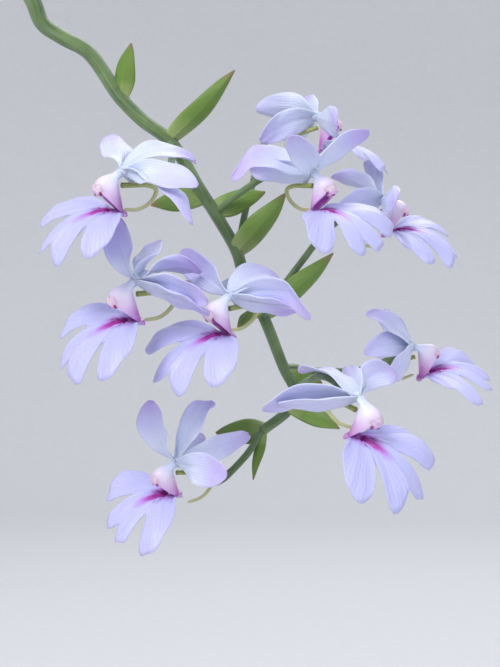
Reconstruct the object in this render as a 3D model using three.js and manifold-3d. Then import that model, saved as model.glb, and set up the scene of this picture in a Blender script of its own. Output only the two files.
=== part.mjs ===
// A potted calanthe orchid in flower: a clay pot of bark mix, three ribbed pseudobulbs and one
// arching scape, which carries nine lilac-white blooms with four-cleft lips and green bracts.
// Millimetres, +Z up. The origin is the centre of the pot's underside. The raceme hangs over +X,
// and the side from which it is looked at is -Y.
import * as THREE from 'three';
import { mergeVertices } from 'three/addons/utils/BufferGeometryUtils.js';
import Module from 'manifold-3d';

const wasm = await Module();
wasm.setup();

// Pot and growing medium
const POT_HEIGHT = 115;
const POT_BASE_RADIUS = 45;
const POT_SHOULDER_RADIUS = 60;
const POT_SHOULDER_HEIGHT = 90;
const POT_RIM_RADIUS = 67;
const POT_WALL = 5;
const POT_FLOOR = 8;
const POT_SIDES = 32;
const DRAIN_HOLES = 3;
const DRAIN_HOLE_RADIUS = 5;
const DRAIN_CIRCLE_RADIUS = 24;
const SEAT_GAP = 0.3;
const MEDIUM_LEVEL = 103;
const MEDIUM_BUMP = 1.6;
const HOLE_DEPTH = 12;
const HOLE_CLEARANCE = 1.06;

// Pseudobulbs: where each stands, its height and its greatest radius
const BULBS = [
  { at: [-11, 0], height: 92, radius: 19, turn: 0.2 },
  { at: [15, -34], height: 78, radius: 16, turn: 0.9 },
  { at: [8, 37], height: 70, radius: 15, turn: 1.7 },
];
// Share of the height against share of the greatest radius: a plump foot and a slight waist
const BULB_PROFILE = [
  [0, 0.5], [0.08, 0.84], [0.24, 1], [0.42, 0.86], [0.58, 0.66], [0.74, 0.6], [0.88, 0.42], [0.97, 0.2],
];
const BULB_RIBS = 6;
const BULB_RIB_DEPTH = 0.07;
const BULB_SIDES = 12;

// Scape: its centre line from the soil over the arch and down the raceme
const SCAPE_PATH = [
  [14, 0, 94], [15, 0, 200], [20, 0, 300], [30, 0, 380], [49, 0, 450], [77, 0, 489], [108, 0, 498],
  [136, 0, 479], [158.1, 0, 440.1], [161.4, 0.5, 432.5], [168, 0.6, 427.8], [176.5, 0.4, 422.9],
  [187.1, -0.6, 408], [194.4, 0, 400.5], [203.6, 0.8, 393.5], [213.5, -0.6, 377.4], [218.4, 0, 369.8],
  [225.7, 0.8, 356.9], [228.7, 0, 346], [234.3, -0.8, 335.8], [241.2, 0.6, 318.6], [244.8, 0, 310.7],
  [243.2, 0, 305.4], [234, 0, 297.8],
];
const SCAPE_FOOT_RADIUS = 3.3;
const SCAPE_MIDDLE_RADIUS = 2.1;
const SCAPE_END_RADIUS = 1.6;
const SCAPE_MIDDLE_SHARE = 0.62;
const SCAPE_STEPS = 2;
const SCAPE_SIDES = 8;
const SHEATHS = [
  { from: 0.03, length: 34 },
  { from: 0.17, length: 40 },
  { from: 0.34, length: 38 },
];
const SHEATH_CLEARANCE = 0.9;

// Bracts: foot, tip and width of each, with the way that its hollow side faces
const BRACTS = [
  { foot: [187.5, -1, 408], tip: [191, -4, 425], width: 7.4, face: [-0.3, -1, 0.2] },
  { foot: [203.8, 0, 394], tip: [225, -5, 416], width: 7.6, face: [0.5, -1, -0.4] },
  { foot: [214.5, 0, 376], tip: [197.5, -2, 372], width: 9, face: [0, -1, 0.5] },
  { foot: [218, 0, 371], tip: [235, 3, 377], width: 8.6, face: [-0.2, -1, 0.3] },
  { foot: [225.5, 0, 357], tip: [241.8, -3, 376], width: 9, face: [0.4, -1, -0.3] },
  { foot: [234.3, 0, 336], tip: [257.5, 1, 356.5], width: 8.4, face: [0.4, -1, -0.3] },
  { foot: [233.5, -1, 339], tip: [226, -12, 332], width: 6.4, face: [0.3, 0.2, 1] },
  { foot: [241.5, 0, 318], tip: [254, 5, 313.5], width: 7.4, face: [0, -1, 0.5] },
  { foot: [243.5, -1, 307], tip: [259, -8, 299], width: 8, face: [0.2, -1, 0.6] },
  { foot: [235, 0, 298], tip: [218.6, 4, 297], width: 8.4, face: [0.1, -1, 0.2] },
  { foot: [234.6, 0, 298], tip: [231, -2, 282], width: 3.6, face: [-0.4, -1, 0] },
];
const BRACT_CUPPING = 0.35;
const PEDICEL_RADIUS = 1.15;
const OVARY_RADIUS = 1.65;
const OVARY_LENGTH = 16;
const PEDICEL_STEPS = 6;
const PEDICEL_SIDES = 5;
const OVARY_NECK_RADIUS = 0.9;
const OVARY_GAP = 1.2;

// Blooms: the seat is where the tepals meet. Forward runs along the column and the lip, and up
// is the back of the bloom. A tepal is [azimuth from up, reflex, curl, droop, length, roll], and
// a hooked one has the drop of its tip as a seventh number: droop, length and drop in millimetres,
// the others in degrees. Its azimuth grows towards the bloom's side. The spur's free end is
// shifted by [side, up] millimetres.
const BLOOMS = [
  {
    seat: [190.2, -36, 379.2], forward: [-0.82, -0.32, -0.47], up: [-0.26, -0.51, 0.82], size: 0.96,
    node: [203.6, 0.8, 393.5], ovary: [0.79, 0.61, 0.01], spurEnd: [-4, 0],
    dorsal: [-14, 67, 86, 0, 26, 28], petals: [[96, 40, 2, 5, 24, -80], [-73, 27, -10, 2, 21, -71]],
    sepals: [[114, 52, -60, 2, 26, 50, 4], [-125, 35, 10, 0, 24, 0]],
  },
  {
    seat: [194.3, -34, 345.8], forward: [-0.81, -0.23, -0.54], up: [-0.35, -0.54, 0.76], size: 0.99,
    node: [228.7, 0, 346], ovary: [0.79, 0.61, -0.03], spurEnd: [-4, -2],
    dorsal: [-2, 83, 47, 4, 22, -51], petals: [[110, 48, -32, 1, 24, -13], [-53, 3, 32, 0, 22, 57]],
    sepals: [[125, 35, 0, 3, 23, 0], [-85, 50, -12, 5, 26, 80]],
  },
  {
    seat: [223.1, -28, 341.4], forward: [-0.73, -0.42, -0.54], up: [-0.27, -0.55, 0.79], size: 0.96,
    node: [234.3, -0.8, 335.8], ovary: [0.76, 0.65, 0.04], spurEnd: [-4, 0],
    dorsal: [8, 60, 75, 6, 23, 20], petals: [[92, 58, -30, 5, 25, -10, 5], [-59, -2, 0, 0, 21, 32]],
    sepals: [[124, 38, 0, 0, 21, 0], [-124, 34, 10, 0, 24, 0]],
  },
  {
    seat: [250.1, -24, 380.1], forward: [0.71, -0.50, -0.51], up: [0.26, -0.49, 0.83], size: 0.91,
    node: [218.4, 0, 369.8], ovary: [-0.65, 0.74, 0.17], spurEnd: [4, 0],
    dorsal: [-35, 9, 1, 5, 22, -53], petals: [[61, 24, -55, 0, 25, 5], [-77, 62, -30, 6, 27, 60, 6]],
    sepals: [[120, 36, 10, 0, 24, 0], [-116, 62, 20, 5, 21, 9]],
  },
  {
    seat: [253.4, 18, 404], forward: [0.93, -0.25, -0.27], up: [0.25, -0.11, 0.96], size: 0.85,
    node: [225.7, 0.8, 356.9], ovary: [-0.91, 0.40, -0.12], spurEnd: [0, -2],
    dorsal: [22, 72, 48, 1, 21, 45], petals: [[80, 25, 10, 0, 23, 0], [-95, -36, 15, 0, 27, 19]],
    sepals: [[118, 30, 0, 0, 23, 0], [-128, 56, -38, 2, 22, 34]],
  },
  {
    seat: [274.9, 8, 374.8], forward: [0.93, -0.18, -0.31], up: [0.21, -0.41, 0.89], size: 0.88,
    node: [234.3, -0.8, 335.8], ovary: [-0.91, 0.21, -0.36], spurEnd: [4, -6],
    dorsal: [20, 62, 15, 6, 21, 39], petals: [[81, 25, 10, 0, 23, 0], [-71, -12, -10, 0, 25, 0]],
    sepals: [[118, 32, 10, 0, 23, 0], [-90, 34, -12, 0, 21, 15]],
  },
  {
    seat: [206, -16, 288.5], forward: [-0.85, -0.16, -0.50], up: [-0.31, -0.61, 0.73], size: 0.89,
    node: [234, 0, 297.8], ovary: [0.80, 0.45, -0.39], spurEnd: [-5, -10],
    dorsal: [-18, 47, 8, 5, 29, 27, 3], petals: [[74, 19, 0, 0, 27, -39], [-39, -16, 55, 3, 24, 49]],
    sepals: [[90, 76, 45, 8, 29, 0], [-107, 54, -15, 4, 20, 2]],
  },
  {
    seat: [285.2, 10, 325.5], forward: [0.99, 0, -0.08], up: [0.06, -0.43, 0.90], size: 0.86,
    node: [241.2, 0.6, 318.6], ovary: [-0.87, 0.18, -0.46], spurEnd: [4, 0],
    dorsal: [-5, 39, 3, 8, 26, -10], petals: [[86, 25, 10, 0, 22, 0], [-93, 16, 18, 0, 21, 4]],
    sepals: [[120, 30, 10, 0, 23, 0], [-54, 54, -10, 6, 22, 22]],
  },
  {
    seat: [263.8, -34, 309.9], forward: [0.64, -0.36, -0.68], up: [0.40, -0.60, 0.70], size: 1,
    node: [244.8, 0, 310.7], ovary: [-0.59, 0.69, 0.42], spurEnd: [5, 0],
    dorsal: [-12, 82, 76, 0, 26, 30], petals: [[62, 37, -45, 8, 21, -50], [-123, 63, -36, 6, 29, 16]],
    sepals: [[118, 35, 10, 0, 24, 0], [-126, 32, 10, 0, 24, 0]],
  },
];
const BLADE_THICKNESS = 0.7;
const PETAL_WIDTH = 10.5;
const SEPAL_WIDTH = 9.5;
const BLADE_FOOT_SHARE = 0.34;
const BLADE_CUPPING = 0.22;
const BLADE_START = 1.1;
const HOOK_START = 0.72;
const BLADE_STEPS = 6;
const BLADE_STRIPS = 2;
const RECEPTACLE_RADIUS = 2.1;
const RECEPTACLE_BACK = 0.7;

// Lip, in its bloom's own axes: half of the outline as [degrees from the middle line, radius]
// about the throat, from the notch between the middle lobes round the side lobe to the claw
const LIP_CENTRE = 6.5;
const LIP_OUTLINE = [
  [0, 22.4], [5, 24.8], [12, 26.2], [19, 24.8], [23, 19.6], [26, 14.6], [28.5, 11.8], [31, 14.6],
  [34.5, 19.6], [39, 24.4], [45, 26.8], [51, 26.8], [57, 24.9], [63, 21.8], [71, 17.4], [79, 12.4],
  [87, 7.6], [102, 4.4], [140, 3],
];
const LIP_BACK_RADIUS = 2.6;
const LIP_CREST = [17, -7.9];
const LIP_BACK_FALL = 0.028;
const LIP_FRONT_FALL = 0.024;
const LIP_LEVEL_AT = 14.3;
const LIP_SIDE_FALL = 0.00065;
const LIP_RINGS = [0.5, 1];

// Claw and column, in the bloom's own axes as [forward, up]: a funnel from the seat to its mouth,
// swollen on the column's side and its flanks
const FUNNEL_ROOT_TOP = [2.1, 1];
const FUNNEL_ROOT_BOTTOM = [1.7, -1.7];
const COLUMN_TIP = [9.9, -0.2];
const CLAW_END = [3.7, -14.3];
const FUNNEL_ROOT_HALF_WIDTH = 1.8;
const FUNNEL_MOUTH_HALF_WIDTH = 4.1;
const COLUMN_SWELL = 1.2;
const FUNNEL_SIDE_SWELL = 0.7;
const SWELL_EASE = 1.2;
const FUNNEL_STEPS = 3;
const FUNNEL_SIDES = 8;
const COLUMN_THICKNESS = 0.24;
const CLAW_WALL = 0.12;
const MOUTH_DEPTH_SHARE = 0.5;

// Spur: its middle line as [forward, up], from the seat back between the sepals and round below
// to a free end beside the claw, with its radius at either end
const SPUR_PATH = [
  [0.8, -4.2], [-3.2, -6.4], [-7.8, -9], [-10.4, -12.2], [-8.2, -15.2], [-3.4, -16.2], [1.8, -14],
];
const SPUR_ROOT_RADIUS = 0.9;
const SPUR_TIP_RADIUS = 0.6;
const SPUR_SIDES = 5;
const SPUR_STEPS = 9;

const COLOURS = {
  pot: { color: '#a9603f', roughness: 0.85 },
  medium: { color: '#4b3524', roughness: 0.95 },
  bulb: { color: '#9aa182', roughness: 0.6 },
  green: { color: '#7f9a45', roughness: 0.5 },
  tepal: { color: '#d3d0f0', roughness: 0.55 },
  lip: { color: '#cdb4e6', roughness: 0.55 },
  spur: { color: '#b3b36c', roughness: 0.5 },
};

const TAU = Math.PI * 2;
const mix = THREE.MathUtils.lerp;
const radians = THREE.MathUtils.degToRad;
const vec = (p) => new THREE.Vector3(...p);

// Joining and cutting closed solids

function toManifold(geometry) {
  const bare = geometry.clone();
  bare.deleteAttribute('normal');
  bare.deleteAttribute('uv');
  const merged = mergeVertices(bare, 1e-4);
  return new wasm.Manifold(new wasm.Mesh({
    numProp: 3,
    vertProperties: new Float32Array(merged.attributes.position.array),
    triVerts: new Uint32Array(merged.index.array),
  }));
}

function toGeometry(manifold) {
  const mesh = manifold.getMesh();
  const geometry = new THREE.BufferGeometry();
  geometry.setAttribute('position', new THREE.BufferAttribute(mesh.vertProperties, 3));
  geometry.setIndex(new THREE.BufferAttribute(mesh.triVerts, 1));
  geometry.computeVertexNormals();
  return geometry;
}

function union(geometries) {
  return geometries.map(toManifold).reduce((whole, piece) => whole.add(piece));
}

function indexed(points, triangles) {
  const geometry = new THREE.BufferGeometry();
  const flat = points.flatMap((p) => [p.x, p.y, p.z]);
  geometry.setAttribute('position', new THREE.Float32BufferAttribute(flat, 3));
  geometry.setIndex(triangles.flat());
  return geometry;
}

// A closed solid skinned over rings of points, all of one length, with a fan at either end
function loft(rings) {
  const sides = rings[0].length;
  const points = rings.flat();
  const triangles = [];
  for (let i = 0; i + 1 < rings.length; i += 1) {
    for (let j = 0; j < sides; j += 1) {
      const a = i * sides + j;
      const b = i * sides + ((j + 1) % sides);
      triangles.push([a, b, b + sides], [a, b + sides, a + sides]);
    }
  }
  for (const end of [0, rings.length - 1]) {
    const middle = new THREE.Vector3();
    rings[end].forEach((p) => middle.addScaledVector(p, 1 / sides));
    points.push(middle);
    for (let j = 0; j < sides; j += 1) {
      const a = end * sides + j;
      const b = end * sides + ((j + 1) % sides);
      triangles.push(end === 0 ? [b, a, points.length - 1] : [a, b, points.length - 1]);
    }
  }
  return indexed(points, triangles);
}

// A round rod along a curve, with its radius given at each share of the curve. Its rings are as
// dense as the curve's own points, and each is turned on from the last one with no twist.
function rod(curve, steps, sides, radiusAt) {
  const rings = [];
  const heading = curve.getTangent(0);
  let normal = new THREE.Vector3(0, 1, 0).cross(heading).normalize();
  for (let i = 0; i <= steps; i += 1) {
    const tangent = curve.getTangent(i / steps);
    normal = normal.addScaledVector(tangent, -normal.dot(tangent)).normalize();
    const binormal = tangent.clone().cross(normal);
    const centre = curve.getPoint(i / steps);
    const radius = radiusAt(i / steps);
    const ring = [];
    for (let j = 0; j < sides; j += 1) {
      const angle = TAU * j / sides;
      ring.push(centre.clone()
        .addScaledVector(normal, Math.cos(angle) * radius)
        .addScaledVector(binormal, Math.sin(angle) * radius));
    }
    rings.push(ring);
  }
  return loft(rings);
}

// A closed blade of even thickness over a grid of points on its middle surface. Both faces are
// split into triangles alike, so the thickness holds on waved stretches too.
function bladeSolid(grid, thickness) {
  const rows = grid.length;
  const columns = grid[0].length;
  const side = (i, j, sign) => {
    const along = grid[Math.min(i + 1, rows - 1)][j].clone().sub(grid[Math.max(i - 1, 0)][j]);
    const across = grid[i][Math.min(j + 1, columns - 1)].clone().sub(grid[i][Math.max(j - 1, 0)]);
    const normal = along.cross(across).normalize();
    return grid[i][j].clone().addScaledVector(normal, sign * thickness / 2);
  };
  const points = [];
  for (const sign of [1, -1]) {
    for (let i = 0; i < rows; i += 1) {
      for (let j = 0; j < columns; j += 1) {
        points.push(side(i, j, sign));
      }
    }
  }
  const under = rows * columns;
  const triangles = [];
  for (let i = 0; i + 1 < rows; i += 1) {
    for (let j = 0; j + 1 < columns; j += 1) {
      const a = i * columns + j;
      const b = a + columns;
      triangles.push([a, b, b + 1], [a, b + 1, a + 1]);
      triangles.push([a + under, b + under + 1, b + under], [a + under, a + under + 1, b + under + 1]);
    }
  }
  const rim = [];
  for (let j = 0; j + 1 < columns; j += 1) {
    rim.push(j);
  }
  for (let i = 0; i + 1 < rows; i += 1) {
    rim.push(i * columns + columns - 1);
  }
  for (let j = columns - 1; j > 0; j -= 1) {
    rim.push((rows - 1) * columns + j);
  }
  for (let i = rows - 1; i > 0; i -= 1) {
    rim.push(i * columns);
  }
  rim.forEach((a, k) => {
    const b = rim[(k + 1) % rim.length];
    triangles.push([a, b, b + under], [a, b + under, a + under]);
  });
  return indexed(points, triangles);
}

// Pot, medium and pseudobulbs

function potSolid() {
  const inside = POT_WALL;
  const profile = [
    [0, 0], [POT_BASE_RADIUS - 2, 0], [POT_BASE_RADIUS, 2], [POT_SHOULDER_RADIUS, POT_SHOULDER_HEIGHT],
    [POT_RIM_RADIUS, POT_SHOULDER_HEIGHT + 1.5], [POT_RIM_RADIUS + 1, POT_HEIGHT - 2],
    [POT_RIM_RADIUS - 1, POT_HEIGHT], [POT_RIM_RADIUS - inside, POT_HEIGHT],
    [POT_RIM_RADIUS - inside - 1.5, POT_HEIGHT - 2],
    [POT_SHOULDER_RADIUS - inside, POT_SHOULDER_HEIGHT],
    [POT_BASE_RADIUS - inside, POT_FLOOR], [0, POT_FLOOR],
  ].map(([r, z]) => new THREE.Vector2(r, z));
  const body = new THREE.LatheGeometry(profile, POT_SIDES).rotateX(Math.PI / 2);
  let pot = toManifold(body);
  for (let k = 0; k < DRAIN_HOLES; k += 1) {
    const angle = TAU * (k + 0.5) / DRAIN_HOLES;
    const drill = new THREE.CylinderGeometry(DRAIN_HOLE_RADIUS, DRAIN_HOLE_RADIUS, POT_FLOOR * 3, 14);
    drill.rotateX(Math.PI / 2);
    drill.translate(Math.cos(angle) * DRAIN_CIRCLE_RADIUS, Math.sin(angle) * DRAIN_CIRCLE_RADIUS, 0);
    pot = pot.subtract(toManifold(drill));
  }
  return toGeometry(pot);
}

function mediumRadius(z) {
  const share = (z - POT_FLOOR) / (POT_SHOULDER_HEIGHT - POT_FLOOR);
  const inside = mix(POT_BASE_RADIUS, POT_SHOULDER_RADIUS, share) - POT_WALL;
  return Math.min(inside, POT_SHOULDER_RADIUS - POT_WALL) - SEAT_GAP * 2;
}

function mediumTop(x, y) {
  const rough = Math.sin(x * 0.31 + 1.3) * Math.cos(y * 0.27) + 0.5 * Math.sin(x * 0.13 - y * 0.21);
  return MEDIUM_LEVEL + MEDIUM_BUMP * rough;
}

function mediumSolid() {
  const sides = 24;
  const rings = [];
  const ring = (radius, heightAt) => {
    const points = [];
    for (let j = 0; j < sides; j += 1) {
      const x = Math.cos(TAU * j / sides) * radius;
      const y = Math.sin(TAU * j / sides) * radius;
      points.push(new THREE.Vector3(x, y, heightAt(x, y)));
    }
    return points;
  };
  for (const z of [POT_FLOOR + SEAT_GAP, POT_SHOULDER_HEIGHT]) {
    rings.push(ring(mediumRadius(z), () => z));
  }
  for (const share of [1, 0.72, 0.4]) {
    rings.push(ring(mediumRadius(POT_HEIGHT) * share, mediumTop));
  }
  let medium = toManifold(loft(rings));
  for (const bulb of BULBS) {
    const wide = bulb.radius * HOLE_CLEARANCE;
    const seat = new THREE.CylinderGeometry(wide, wide, HOLE_DEPTH * 2, BULB_SIDES);
    seat.rotateX(Math.PI / 2);
    seat.translate(bulb.at[0], bulb.at[1], MEDIUM_LEVEL);
    medium = medium.subtract(toManifold(seat));
  }
  const socketRadius = SCAPE_FOOT_RADIUS + SHEATH_CLEARANCE + SEAT_GAP;
  const socket = new THREE.CylinderGeometry(socketRadius, socketRadius, HOLE_DEPTH * 2, 10);
  socket.rotateX(Math.PI / 2);
  socket.translate(SCAPE_PATH[0][0], SCAPE_PATH[0][1], MEDIUM_LEVEL);
  return toGeometry(medium.subtract(toManifold(socket)));
}

function bulbSolid({ height, radius, turn }) {
  const rings = BULB_PROFILE.map(([up, wide]) => {
    const ring = [];
    for (let j = 0; j < BULB_SIDES; j += 1) {
      const angle = TAU * j / BULB_SIDES;
      const ribbed = 1 - BULB_RIB_DEPTH * (0.5 + 0.5 * Math.cos(BULB_RIBS * angle));
      const r = radius * wide * ribbed;
      ring.push(new THREE.Vector3(Math.cos(angle + turn) * r, Math.sin(angle + turn) * r, height * up));
    }
    return ring;
  });
  return toGeometry(toManifold(loft(rings)));
}

// Scape with its sheaths, bracts, pedicels and ovaries

function scapeRadius(share) {
  if (share < SCAPE_MIDDLE_SHARE) {
    return mix(SCAPE_FOOT_RADIUS, SCAPE_MIDDLE_RADIUS, share / SCAPE_MIDDLE_SHARE);
  }
  return mix(SCAPE_MIDDLE_RADIUS, SCAPE_END_RADIUS, (share - SCAPE_MIDDLE_SHARE) / (1 - SCAPE_MIDDLE_SHARE));
}

function scapeCurve() {
  return new THREE.CatmullRomCurve3(SCAPE_PATH.map(vec), false, 'centripetal');
}

function sheath(curve, { from, length }) {
  const share = length / curve.getLength();
  const points = [0, 0.25, 0.5, 0.75, 1].map((t) => curve.getPointAt(from + share * t));
  const piece = new THREE.CatmullRomCurve3(points);
  return rod(piece, 4, SCAPE_SIDES, (t) => scapeRadius(from) + SHEATH_CLEARANCE * (1 - 0.35 * t));
}

// Width of a blade against the share of its length, greatest at its fullest point
function ovate(share, fullest, bluntness) {
  const rise = (bluntness * fullest) / (1 - fullest);
  const width = (s) => (s ** rise) * ((1 - s) ** bluntness);
  return width(share) / width(fullest);
}

function bract({ foot, tip, width, face }) {
  const start = vec(foot);
  const along = vec(tip).sub(start);
  const length = along.length();
  along.normalize();
  const across = along.clone().cross(vec(face)).normalize();
  const outward = across.clone().cross(along);
  const grid = [];
  for (let i = 0; i <= BLADE_STEPS; i += 1) {
    const t = i / BLADE_STEPS;
    const half = width / 2 * Math.max(ovate(mix(0.12, 0.985, t), 0.42, 0.95), 0.07);
    const arch = Math.sin(Math.PI * t) * length * 0.06;
    const row = [];
    for (let j = 0; j <= BLADE_STRIPS; j += 1) {
      const side = j / BLADE_STRIPS * 2 - 1;
      const cup = half * BRACT_CUPPING * side * side;
      row.push(start.clone().addScaledVector(along, length * t)
        .addScaledVector(across, half * side)
        .addScaledVector(outward, arch - cup));
    }
    grid.push(row);
  }
  return bladeSolid(grid, BLADE_THICKNESS);
}

function pedicel({ seat, node, ovary }) {
  const back = vec(ovary).normalize();
  const end = vec(seat).addScaledVector(back, RECEPTACLE_RADIUS + OVARY_GAP);
  const neck = vec(seat).addScaledVector(back, OVARY_LENGTH);
  const middle = neck.clone().lerp(vec(node), 0.5).addScaledVector(back, 2);
  const curve = new THREE.CatmullRomCurve3([vec(node), middle, neck, end], false, 'centripetal');
  const swell = (t) => (t < 0.85
    ? mix(PEDICEL_RADIUS, OVARY_RADIUS, THREE.MathUtils.smoothstep(t, 0.45, 0.7))
    : mix(OVARY_RADIUS, OVARY_NECK_RADIUS, (t - 0.85) / 0.15));
  return rod(curve, PEDICEL_STEPS, PEDICEL_SIDES, swell);
}

function scapeSolid() {
  const curve = scapeCurve();
  const steps = (SCAPE_PATH.length - 1) * SCAPE_STEPS;
  const stem = rod(curve, steps, SCAPE_SIDES, scapeRadius);
  const sheaths = SHEATHS.map((each) => sheath(curve, each));
  return toGeometry(union([stem, ...sheaths, ...BRACTS.map(bract), ...BLOOMS.map(pedicel)]));
}

// Blooms, in their own axes: x forward along the column, z up, y to the side

function bloomAxes({ forward, up }) {
  const x = vec(forward).normalize();
  const z = vec(up).addScaledVector(x, -vec(up).dot(x)).normalize();
  return { x, y: z.clone().cross(x), z };
}

function tepal([azimuth, reflex, curl, droop, length, roll, hook = 0], width, fullest, down) {
  const around = radians(azimuth);
  const out = new THREE.Vector3(0, Math.sin(around), Math.cos(around));
  const across = new THREE.Vector3(0, Math.cos(around), -Math.sin(around));
  const grid = [];
  let lean = radians(reflex);
  const spine = out.clone().multiplyScalar(BLADE_START * Math.cos(lean));
  spine.x -= BLADE_START * Math.sin(lean);
  const step = length / BLADE_STEPS;
  for (let i = 0; i <= BLADE_STEPS; i += 1) {
    const t = i / BLADE_STEPS;
    const half = width / 2 * Math.max(ovate(mix(0.02, 0.975, t), fullest, 0.62), BLADE_FOOT_SHARE * (1 - t));
    const face = new THREE.Vector3(Math.cos(lean), 0, 0).addScaledVector(out, Math.sin(lean));
    const heading = out.clone().multiplyScalar(Math.cos(lean));
    heading.x -= Math.sin(lean);
    const turn = radians(roll) * THREE.MathUtils.smoothstep(t, 0, 0.45);
    const sag = droop * t * t + hook * THREE.MathUtils.smoothstep(t, HOOK_START, 1);
    const broad = across.clone().applyAxisAngle(heading, turn);
    face.applyAxisAngle(heading, turn);
    const row = [];
    for (let j = 0; j <= BLADE_STRIPS; j += 1) {
      const side = j / BLADE_STRIPS * 2 - 1;
      row.push(spine.clone()
        .addScaledVector(down, sag)
        .addScaledVector(broad, half * side)
        .addScaledVector(face, half * BLADE_CUPPING * side * side));
    }
    grid.push(row);
    const halfTurn = radians(curl) / BLADE_STEPS / 2;
    spine.addScaledVector(out, step * Math.cos(lean + halfTurn));
    spine.x -= step * Math.sin(lean + halfTurn);
    lean += halfTurn * 2;
  }
  return bladeSolid(grid, BLADE_THICKNESS);
}

function tepals(bloom, axes) {
  const down = new THREE.Vector3(-axes.x.z, -axes.y.z, -axes.z.z);
  const receptacle = new THREE.IcosahedronGeometry(RECEPTACLE_RADIUS).translate(-RECEPTACLE_BACK, 0, 0);
  const blades = [
    tepal(bloom.dorsal, SEPAL_WIDTH, 0.48, down),
    ...bloom.petals.map((each) => tepal(each, PETAL_WIDTH, 0.58, down)),
    ...bloom.sepals.map((each) => tepal(each, SEPAL_WIDTH, 0.46, down)),
  ];
  blades.forEach((blade) => blade.translate(-RECEPTACLE_BACK, 0, 0));
  return toGeometry(union([receptacle, ...blades]));
}

function lipHeight(x, y) {
  const past = x - LIP_CREST[0];
  const fall = past > 0 ? LIP_FRONT_FALL : LIP_BACK_FALL;
  return LIP_CREST[1] - fall * past * past - LIP_SIDE_FALL * (x - LIP_LEVEL_AT) * y * y;
}

function lamina() {
  const half = LIP_OUTLINE.slice(1);
  const whole = [
    LIP_OUTLINE[0], ...half, [180, LIP_BACK_RADIUS], ...half.toReversed().map(([a, r]) => [-a, r]),
  ];
  const sides = whole.length;
  const points = [];
  for (const sign of [1, -1]) {
    points.push(new THREE.Vector3(LIP_CENTRE, 0, lipHeight(LIP_CENTRE, 0) + sign * BLADE_THICKNESS / 2));
    for (const share of LIP_RINGS) {
      for (const [angle, radius] of whole) {
        const x = LIP_CENTRE + Math.cos(radians(angle)) * radius * share;
        const y = Math.sin(radians(angle)) * radius * share;
        points.push(new THREE.Vector3(x, y, lipHeight(x, y) + sign * BLADE_THICKNESS / 2));
      }
    }
  }
  const under = points.length / 2;
  const triangles = [];
  const face = (a, b, c) => triangles.push([a, b, c], [a + under, c + under, b + under]);
  for (let j = 0; j < sides; j += 1) {
    const next = (j + 1) % sides;
    face(0, 1 + j, 1 + next);
    for (let k = 0; k + 1 < LIP_RINGS.length; k += 1) {
      const a = 1 + k * sides;
      face(a + j, a + sides + j, a + sides + next);
      face(a + j, a + sides + next, a + next);
    }
    const outer = 1 + (LIP_RINGS.length - 1) * sides;
    triangles.push([outer + j, outer + j + under, outer + next + under]);
    triangles.push([outer + j, outer + next + under, outer + next]);
  }
  return indexed(points, triangles);
}

function funnelRing(share, trimTop, trimBottom, trimSide) {
  const at = (a, b) => new THREE.Vector2(mix(a[0], b[0], share), mix(a[1], b[1], share));
  const swell = Math.sin(Math.PI * Math.min(share, 1) ** SWELL_EASE);
  const top = at(FUNNEL_ROOT_TOP, COLUMN_TIP);
  const bottom = at(FUNNEL_ROOT_BOTTOM, CLAW_END);
  top.addScaledVector(top.clone().sub(bottom).normalize(), COLUMN_SWELL * swell);
  const upper = top.clone().lerp(bottom, trimTop);
  const lower = bottom.clone().lerp(top, trimBottom);
  const middle = upper.clone().add(lower).multiplyScalar(0.5);
  const reach = upper.clone().sub(lower).multiplyScalar(0.5);
  const flank = mix(FUNNEL_ROOT_HALF_WIDTH, FUNNEL_MOUTH_HALF_WIDTH, share) + FUNNEL_SIDE_SWELL * swell;
  const wide = flank * (1 - trimSide);
  const ring = [];
  for (let j = 0; j < FUNNEL_SIDES; j += 1) {
    const angle = TAU * j / FUNNEL_SIDES;
    const r = Math.cos(angle);
    ring.push(new THREE.Vector3(middle.x + reach.x * r, -Math.sin(angle) * wide, middle.y + reach.y * r));
  }
  return ring;
}

function funnel() {
  const outer = [];
  const inner = [];
  for (let i = 0; i <= FUNNEL_STEPS; i += 1) {
    outer.push(funnelRing(i / FUNNEL_STEPS, 0, 0, 0));
  }
  for (const share of [MOUTH_DEPTH_SHARE, 0.75, 1.1]) {
    inner.push(funnelRing(share, COLUMN_THICKNESS, CLAW_WALL, CLAW_WALL * 2));
  }
  return toManifold(loft(outer)).subtract(toManifold(loft(inner)));
}

function spur([side, up]) {
  const last = SPUR_PATH.length - 1;
  const points = SPUR_PATH.map(([x, z], k) => {
    const shift = k / last;
    return new THREE.Vector3(x, side * shift, z + up * shift);
  });
  const curve = new THREE.CatmullRomCurve3(points, false, 'centripetal');
  return rod(curve, SPUR_STEPS, SPUR_SIDES, (t) => mix(SPUR_ROOT_RADIUS, SPUR_TIP_RADIUS, t));
}

const materials = Object.fromEntries(Object.entries(COLOURS).map(([name, look]) => [
  name, new THREE.MeshStandardMaterial({ ...look, metalness: 0, name }),
]));

function mesh(name, geometry, material) {
  const piece = new THREE.Mesh(geometry, materials[material]);
  piece.name = name;
  return piece;
}

function bloomGroup(bloom, number) {
  const axes = bloomAxes(bloom);
  const group = new THREE.Group();
  const lip = toGeometry(funnel().add(toManifold(lamina()))).scale(bloom.size, bloom.size, bloom.size);
  const tail = spur(bloom.spurEnd).scale(bloom.size, bloom.size, bloom.size);
  group.add(mesh(`bloom_${number}_tepals`, tepals(bloom, axes), 'tepal'));
  group.add(mesh(`bloom_${number}_lip_and_column`, lip, 'lip'));
  group.add(mesh(`bloom_${number}_spur`, tail, 'spur'));
  group.quaternion.setFromRotationMatrix(new THREE.Matrix4().makeBasis(axes.x, axes.y, axes.z));
  group.position.set(...bloom.seat);
  return group;
}

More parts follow.
